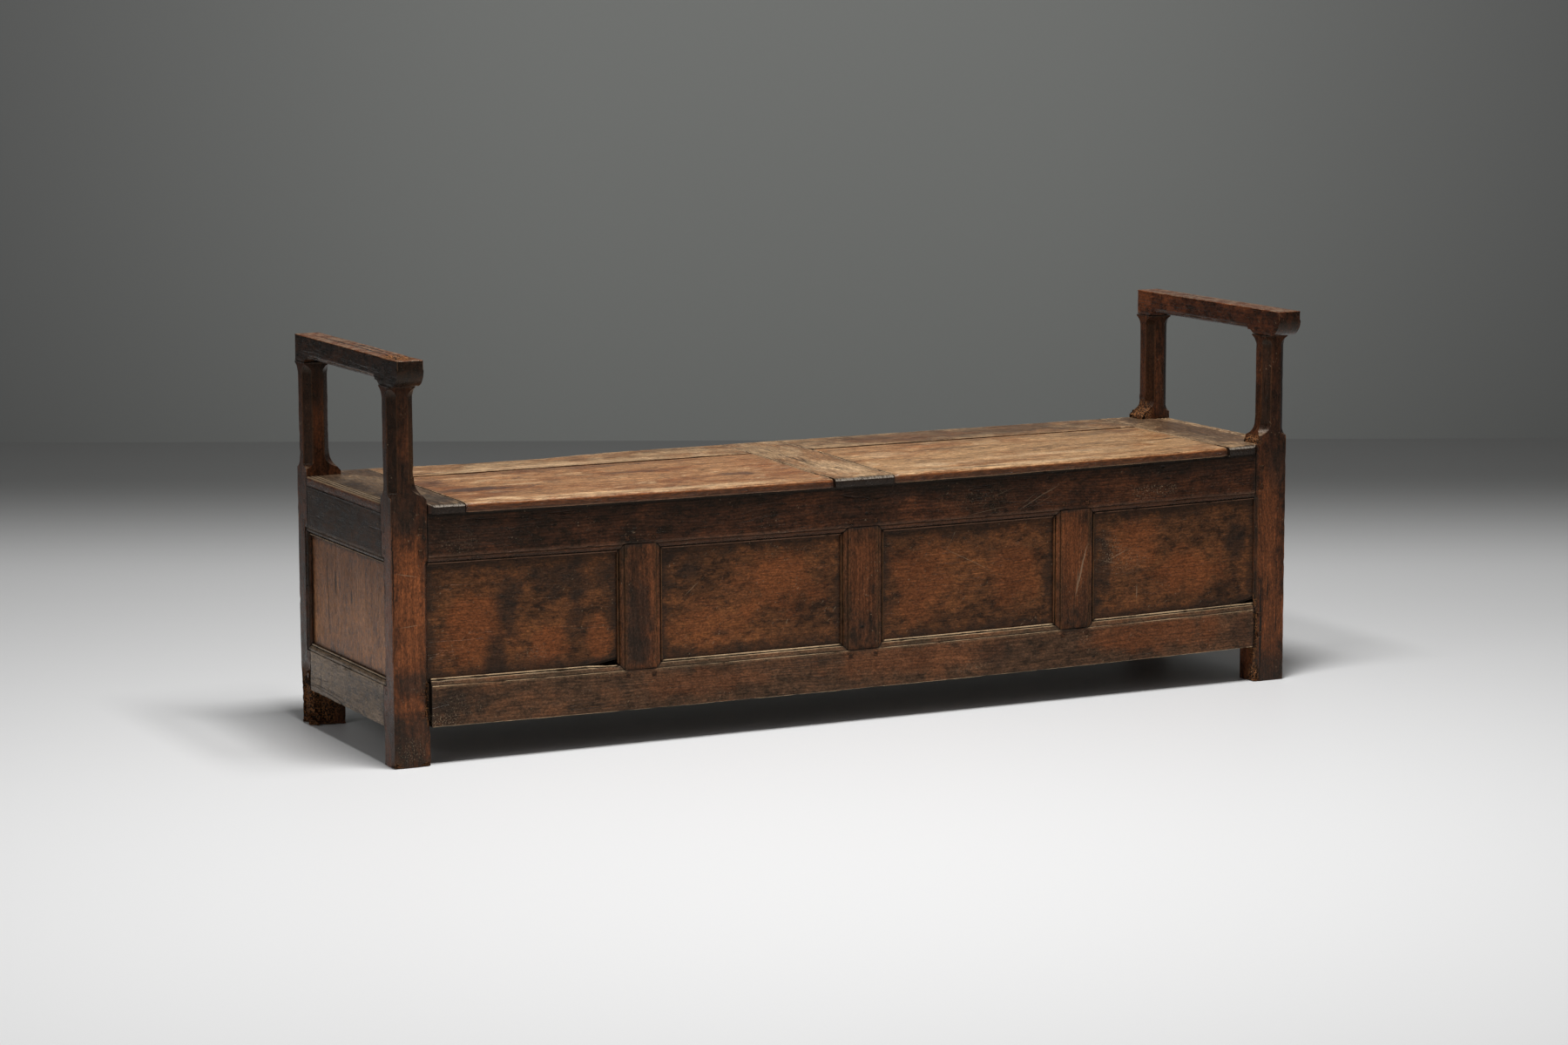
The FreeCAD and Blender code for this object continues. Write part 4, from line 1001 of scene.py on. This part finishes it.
def worn_piece(node, grain_axis, finish, cell=1.0, arris=1.0, chips=1.0, warp=1.0, sag=1.0, shape=None,
               cuts=()):
    """A worn copy of one wooden node, which stands for it.

    It is cut into small faces, its arrises are rubbed back and chipped, and its faces are slightly hollowed.
    All of this goes inwards. shape moves a point, and cuts are extra (axis, place) cuts for it.
    """
    wear = bpy.context.scene.bench_wear
    original = frame["nodes"][node]
    bm = bmesh.new()
    bm.from_mesh(original.data)
    bmesh.ops.remove_doubles(bm, verts=bm.verts, dist=DOUBLES)
    bmesh.ops.dissolve_limit(bm, angle_limit=FLAT_TURN, verts=bm.verts, edges=bm.edges)
    bm.normal_update()
    outer, inner = sharp_lines(bm, True), sharp_lines(bm, False)
    longest = cut_up(bm, node, wear.cell * cell, outer, cuts)
    bm.normal_update()
    points = np.array([vert.co[:] for vert in bm.verts], float)
    carried = {"arris": away_from(points, outer, longest), "hollow": away_from(points, inner, longest),
               "joint": away_from_neighbours(node, points), "raw": np.zeros(len(points))}
    seed = sum(ord(letter) for letter in node) * 0.037
    for index, vert in enumerate(bm.verts):
        gaps = carried["arris"][index], carried["joint"][index]
        depth = worn_depth(vert.co, *gaps, seed, arris, chips, warp)
        crumbled, carried["raw"][index] = crumbled_depth(node, vert.co, seed)
        point = vert.co - vert.normal * (depth + crumbled)
        if shape:
            point = shape(point, vert.normal)
        point.z -= sag * wear.sag * hanging(point)
        vert.co = [max(low, min(high, value)) for low, high, value in zip(*CAD_BOX, point)]
    bm.normal_update()
    for face in bm.faces:
        face.smooth = True
    for edge in bm.edges:
        edge.smooth = not edge.is_manifold or edge.calc_face_angle(0) < SHADE_TURN
    mesh = bpy.data.meshes.new("worn_" + node)
    bm.to_mesh(mesh)
    bm.free()
    normals = np.empty(len(points) * 3)
    mesh.vertices.foreach_get("normal", normals)
    normals = normals.reshape(-1, 3)
    carried.update(up=normals[:, Z], slant=np.abs(normals[:, X] * normals[:, Y]) * 2)
    for name, value in carried.items():
        mesh.attributes.new(name, "FLOAT", "POINT").data.foreach_set("value", value)
    order = [grain_axis] + [axis for axis in (X, Y, Z) if axis != grain_axis]
    grain = points[:, order] + np.array([seed * 0.61, seed * 0.17, seed * 0.29])
    mesh.attributes.new("grain", "FLOAT_VECTOR", "POINT").data.foreach_set("vector", grain.ravel())
    mesh.materials.append(bpy.data.materials[finish])
    piece = bpy.data.objects.new("worn_" + node, mesh)
    bpy.context.scene.collection.objects.link(piece)
    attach(piece, original["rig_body"])
    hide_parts(node)
    return piece


# The shapes of single pieces that have moved, shrunk or broken

def opened_bottom_rail(point, normal):
    """The front bottom rail has drawn off the left post, and its bead is broken in two corners."""
    drawn, bead, broken = 0.003, 0.006, 0.003
    point.x += drawn * (1 - eased(point.x, -INNER, -INNER + 0.02))
    if point.z > OPENING_LOW - bead:
        point.z -= broken * eased(point.x, -0.585, -0.525) * (1 - eased(point.x, -0.518, -0.512))
    return point


def shrunk_panel(start, end, lift):
    """A panel whose lower edge stands clear of the bead from start to end."""
    def shape(point, normal):
        share = min(1.0, max(0.0, (point.x - start) / (end - start)))
        point.z += share * lift * (1 - eased(point.z, OPENING_LOW - 0.01, OPENING_LOW + 0.04))
        return point
    return shape


def rounded_end(point, normal):
    """A cross board, whose front end is rubbed round."""
    reach, thickness, drop = 0.012, 0.018, 0.004
    near = 1 - eased(point.y, BOARD_FRONT, BOARD_FRONT + reach)
    point.z -= drop * near * eased(point.z, SEAT_TOP - thickness, SEAT_TOP)
    return point


RIDGE_GROOVES = (0.0064, 0.0149, 0.0234)
GROOVE_HALF, GROOVE_EDGE, GROOVE_DEPTH, GROOVE_REACH = 0.0008, 0.0018, 0.0026, 0.017


def ridged_edge(side):
    """An end board with grooves that leave three ridges along its outer edge."""
    def shape(point, normal):
        inside = SEAT_END - side * point.x
        away = min(abs(inside - groove) for groove in RIDGE_GROOVES)
        if point.z > SEAT_TOP - GROOVE_REACH and away < GROOVE_HALF:
            point -= normal * GROOVE_DEPTH
        return rounded_end(point, normal)
    return shape


def waney_back(point, normal):
    """The left back board, whose back edge follows the bark side of the tree."""
    back = BOXES["seat_back_board_left"][1].y
    bark, reach = 0.014, 0.05
    hollow = eased(point.x, -0.85, -0.6) * (1 - eased(point.x, -0.5, -0.36))
    point.y -= bark * (hollow + 0.35 * ripple(point.x, 0.09, 4)) * eased(point.y, back - reach, back)
    return worn_front(point, normal)


def worn_front(point, normal):
    """A back board, whose front edge has worn away beside the lid."""
    front = BOXES["seat_back_board_left"][0].y
    most, reach = 0.0016, 0.012
    point.y += most * ripple(point.x, 0.02, 7) * (1 - eased(point.y, front, front + reach))
    return point


def rusted_pin(point, normal):
    """A hinge pin that rust has thinned."""
    lost = 0.0002
    return point - normal * lost


def shrunk_lid(side):
    """A lid that has shrunk away from the boards round it, with a wavy back edge and rubbed front corners."""
    low, high = BOXES["lid_" + side]
    straight, curved, shrinkage, pulled = 0.02, 0.05, 0.0009, 0.01
    front_reach, corner_reach, corner_back, corner_drop = 0.03, 0.012, 0.004, 0.002

    def shape(point, normal):
        back = eased(point.y, high.y - 0.016, high.y - 0.001)
        back *= (eased(point.x, low.x + straight, low.x + curved)
                 * (1 - eased(point.x, high.x - curved, high.x - straight)))
        point.y -= back * (0.002 + 0.006 * ripple(point.x, 0.07, 2) + 0.0025 * ripple(point.x, 0.009, 5))
        front = 1 - eased(point.y, low.y, low.y + front_reach)
        point.y += 0.0022 * ripple(point.x, 0.07, 3) * front
        point.x += shrinkage * (1 - eased(point.x, low.x, low.x + pulled)
                                - eased(point.x, high.x - pulled, high.x))
        corner = 1 - eased(min(point.x - low.x, high.x - point.x), 0, corner_reach)
        corner *= 1 - eased(point.y, low.y, low.y + front_reach)
        point.y += corner_back * corner
        point.z -= corner_drop * corner * eased(point.z, SEAT_TOP - 0.014, SEAT_TOP)
        return point
    return shape


# The operators, one for each piece or group of like pieces

class BenchOperator:
    """What the bench's operators share."""
    bl_options = {"REGISTER", "UNDO"}


class BENCH_OT_finishes(BenchOperator, bpy.types.Operator):
    """Makes the shared effects and the materials"""
    bl_idname = "bench.finishes"
    bl_label = "Finishes"

    def execute(self, context):
        for recipe, inputs in EFFECTS:
            make_effect(recipe, inputs)
        for kind, values in WAXED.items():
            waxed_oak(kind, **values)
        for kind, values in RUBBED.items():
            rubbed_oak(kind, **values)
        forged_iron()
        return {"FINISHED"}


class BENCH_OT_posts(BenchOperator, bpy.types.Operator):
    """Makes the four corner posts"""
    bl_idname = "bench.posts"
    bl_label = "Posts"

    def execute(self, context):
        for place in ("front", "back"):
            for side in ("left", "right"):
                worn_piece(place + "_post_" + side, Z, "post_wax", sag=0)
        return {"FINISHED"}


class BENCH_OT_arms(BenchOperator, bpy.types.Operator):
    """Makes the two arms"""
    bl_idname = "bench.arms"
    bl_label = "Arms"

    def execute(self, context):
        for side in ("left", "right"):
            worn_piece("arm_" + side, Y, "arm_" + side + "_wax", arris=2.6, chips=1.6)
        return {"FINISHED"}


class BENCH_OT_long_frames(BenchOperator, bpy.types.Operator):
    """Makes the rails, muntins and panels of the front and back"""
    bl_idname = "bench.long_frames"
    bl_label = "Long frames"

    def execute(self, context):
        moved = {"front_bottom_rail": opened_bottom_rail,
                 "front_panel_1": shrunk_panel(-0.6, -0.51, 0.0165),
                 "front_panel_4": shrunk_panel(0.84, INNER, 0.0145)}
        for place, coarse in (("front", 1.0), ("back", 2.0)):
            for level in ("top", "bottom"):
                node = place + "_" + level + "_rail"
                worn_piece(node, X, level + "_rail_wax", cell=coarse, shape=moved.get(node))
            for side in ("left", "centre", "right"):
                worn_piece(place + "_muntin_" + side, Z, "muntin_wax", cell=coarse)
            for number in range(1, 5):
                node = place + "_panel_" + str(number)
                worn_piece(node, X, "panel_wax", cell=coarse * 1.2, shape=moved.get(node))
        return {"FINISHED"}


class BENCH_OT_end_frames(BenchOperator, bpy.types.Operator):
    """Makes the rails and panels of both ends"""
    bl_idname = "bench.end_frames"
    bl_label = "End frames"

    def execute(self, context):
        for side in ("left", "right"):
            worn_piece(side + "_end_top_rail", Y, "end_top_rail_wax")
            worn_piece(side + "_end_bottom_rail", Y, "end_rail_wax")
            worn_piece(side + "_end_panel", Z, "end_panel_wax")
        return {"FINISHED"}


class BENCH_OT_seat(BenchOperator, bpy.types.Operator):
    """Makes the fixed seat boards"""
    bl_idname = "bench.seat"
    bl_label = "Seat boards"

    def execute(self, context):
        for side, sign, finish in (("left", -1, "end_board_rubbed"), ("right", 1, "board_rubbed")):
            cuts = [(X, sign * (SEAT_END - groove - edge)) for groove in RIDGE_GROOVES
                    for edge in (-GROOVE_EDGE, 0, GROOVE_EDGE)]
            worn_piece("seat_end_board_" + side, Y, finish, shape=ridged_edge(sign), cuts=cuts)
        worn_piece("seat_back_board_left", X, "board_rubbed", shape=waney_back)
        worn_piece("seat_back_board_right", X, "board_rubbed", shape=worn_front)
        worn_piece("seat_centre_board", Y, "board_rubbed", shape=rounded_end)
        return {"FINISHED"}


class BENCH_OT_lids(BenchOperator, bpy.types.Operator):
    """Makes the two lifting lids"""
    bl_idname = "bench.lids"
    bl_label = "Lids"

    def execute(self, context):
        for side in ("left", "right"):
            worn_piece("lid_" + side, X, "lid_" + side + "_rubbed", chips=1.6, warp=1.8,
                       shape=shrunk_lid(side))
        return {"FINISHED"}


class BENCH_OT_floor(BenchOperator, bpy.types.Operator):
    """Makes the chest floor and its bearers"""
    bl_idname = "bench.floor"
    bl_label = "Chest floor"

    def execute(self, context):
        for number in range(1, 7):
            worn_piece("floor_board_" + str(number), Y, "end_board_rubbed", cell=2.5, sag=0)
        for place in ("front", "back"):
            worn_piece("floor_bearer_" + place, X, "end_board_rubbed", cell=2.5, sag=0)
        return {"FINISHED"}


class BENCH_OT_fasteners(BenchOperator, bpy.types.Operator):
    """Makes the pegs, dowels, nails and hinge pins"""
    bl_idname = "bench.fasteners"
    bl_label = "Fasteners"

    def execute(self, context):
        for node in ("front_pegs", "back_pegs", "left_end_pegs", "right_end_pegs"):
            worn_piece(node, X if "end" in node else Y, "peg_wax", arris=0.15, chips=0.1)
        for node, finish in (("seat_dowels", "muntin_wax"), ("lid_pivots_left", "forged_iron"),
                             ("lid_pivots_right", "forged_iron")):
            worn_piece(node, Z, finish, arris=0, chips=0, warp=0, shape=rusted_pin)
        for node in ("floor_nails", "bearer_nails"):
            data = frame["nodes"][node].data
            data.materials.clear()
            data.materials.append(bpy.data.materials["forged_iron"])
        return {"FINISHED"}


# The stage

CAMERA_PLACE = (-3.6088, -7.1433, 1.5791)
CAMERA_YAW = math.radians(26.441)
CAMERA_PITCH = math.radians(8.647)
CAMERA_ROLL = math.radians(-0.169)
VIEW_WAY = (math.sin(CAMERA_YAW), math.cos(CAMERA_YAW), 0)
VIEW_SIDE = (math.cos(CAMERA_YAW), -math.sin(CAMERA_YAW), 0)
WALL_AWAY = 12.0
FLOOR_HALF, WALL_HALF = 30, 12
# painted shade: the floor darker away from the camera, and the backdrop darker towards both sides
FLOOR_FADE, WALL_FADE = (1.5, 3.3), (0.6, 3.2)
FLOOR_TONES = (228, 228, 228), (131, 131, 130)
WALL_TONES = (142, 144, 141), (112, 113, 112)


def plain_sheet(name, size, place, tones, way, fade, both=False):
    """A flat sheet of the stage with painted shade, which fades from its first tone to its second along a
    way, or both ways.
    """
    bm = bmesh.new()
    bmesh.ops.create_grid(bm, x_segments=1, y_segments=1, size=size)
    bmesh.ops.transform(bm, matrix=place, verts=bm.verts)
    mesh = bpy.data.meshes.new(name)
    bm.to_mesh(mesh)
    bm.free()
    sheet = bpy.data.objects.new(name, mesh)
    bpy.context.scene.collection.objects.link(sheet)
    tree = new_tree(name)
    along = object_place(tree).vector("DOT_PRODUCT", way, "Value")
    coat = Coat(tree, paint(*tones[0]))
    coat.lay(paint(*tones[1]), (abs(along) if both else along).ramp(*fade))
    front = put(tree, "BsdfPrincipled", {"Base Color": coat.colour, "Roughness": 0.45})
    behind = put(tree, "NewGeometry", None, "Backfacing")
    end_tree(tree, put(tree, "MixShader", {0: behind, 1: front, 2: put(tree, "BsdfTransparent")}))
    mesh.materials.append(bpy.data.materials[name])


def soft_light(name, place, aim, wide, deep, power):
    """A large soft lamp."""
    lamp = bpy.data.lights.new(name, "AREA")
    lamp.shape = "RECTANGLE"
    lamp.size = wide
    lamp.size_y = deep
    lamp.energy = power
    holder = bpy.data.objects.new(name, lamp)
    holder.location = place
    holder.rotation_euler = (Vector(aim) - Vector(place)).to_track_quat("-Z", "Y").to_euler()
    bpy.context.scene.collection.objects.link(holder)


class BENCH_OT_stage(BenchOperator, bpy.types.Operator):
    """Makes the floor, backdrop, lamps and camera"""
    bl_idname = "bench.stage"
    bl_label = "Stage"

    def execute(self, context):
        scene = context.scene
        stage = scene.bench_stage
        upright = math.radians(90)
        facing = Matrix.Rotation(-CAMERA_YAW, 4, "Z")
        plain_sheet("stage_floor", FLOOR_HALF, Matrix.Identity(4), FLOOR_TONES, VIEW_WAY, FLOOR_FADE)
        middle = Vector(CAMERA_PLACE) + Vector(VIEW_WAY) * WALL_AWAY
        wall = Matrix.Translation((middle.x, middle.y, 0)) @ facing @ Matrix.Rotation(upright, 4, "X")
        plain_sheet("stage_backdrop", WALL_HALF, wall, WALL_TONES, VIEW_SIDE, WALL_FADE, both=True)
        soft_light("overhead_light", (-0.4, -1.2, 4.2), (-0.4, -0.6, 0), 1.7, 1.2, stage.overhead)
        soft_light("side_light", (-4.6, -1.5, 2.6), (-0.8, 0, 0.4), 2.0, 1.4, stage.fill)
        world = bpy.data.worlds.new("studio")
        world.use_nodes = True
        world.node_tree.nodes["Background"].inputs["Color"].default_value = (1, 1, 1, 1)
        world.node_tree.nodes["Background"].inputs["Strength"].default_value = stage.sky
        scene.world = world
        scene.view_settings.view_transform = "Standard"
        lens = bpy.data.cameras.new("camera")
        lens.lens = stage.lens
        lens.sensor_width = 36
        lens.clip_end = 200
        camera = bpy.data.objects.new("camera", lens)
        turn = facing @ Matrix.Rotation(upright - CAMERA_PITCH, 4, "X") @ Matrix.Rotation(CAMERA_ROLL, 4, "Z")
        camera.matrix_world = Matrix.Translation(CAMERA_PLACE) @ turn
        scene.collection.objects.link(camera)
        scene.camera = camera
        return {"FINISHED"}


class BENCH_PT_panel(bpy.types.Panel):
    """The bench's settings and steps"""
    bl_label = "Joined Chest Bench"
    bl_idname = "BENCH_PT_panel"
    bl_space_type = "VIEW_3D"
    bl_region_type = "UI"
    bl_category = "Bench"

    def draw(self, context):
        for name, group in SETTINGS:
            for key in group.__annotations__:
                self.layout.prop(getattr(context.scene, name), key)
        for step in STEPS:
            self.layout.operator(step.bl_idname)


STEPS = (
    BENCH_OT_finishes, BENCH_OT_posts, BENCH_OT_arms, BENCH_OT_long_frames, BENCH_OT_end_frames,
    BENCH_OT_seat, BENCH_OT_lids, BENCH_OT_floor, BENCH_OT_fasteners, BENCH_OT_stage,
)
SETTINGS = (("bench_wear", BenchWear), ("bench_colours", BenchColours), ("bench_stage", BenchStage))


def register():
    for name, group in SETTINGS:
        bpy.utils.register_class(group)
        setattr(bpy.types.Scene, name, PointerProperty(type=group))
    for step in STEPS + (BENCH_PT_panel,):
        bpy.utils.register_class(step)


def unregister():
    for step in (BENCH_PT_panel,) + STEPS[::-1]:
        bpy.utils.unregister_class(step)
    for name, group in SETTINGS[::-1]:
        delattr(bpy.types.Scene, name)
        bpy.utils.unregister_class(group)


def main():
    register()
    for step in STEPS:
        getattr(bpy.ops.bench, step.bl_idname.split(".")[1])()
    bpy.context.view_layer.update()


if __name__ == "__main__":
    main()
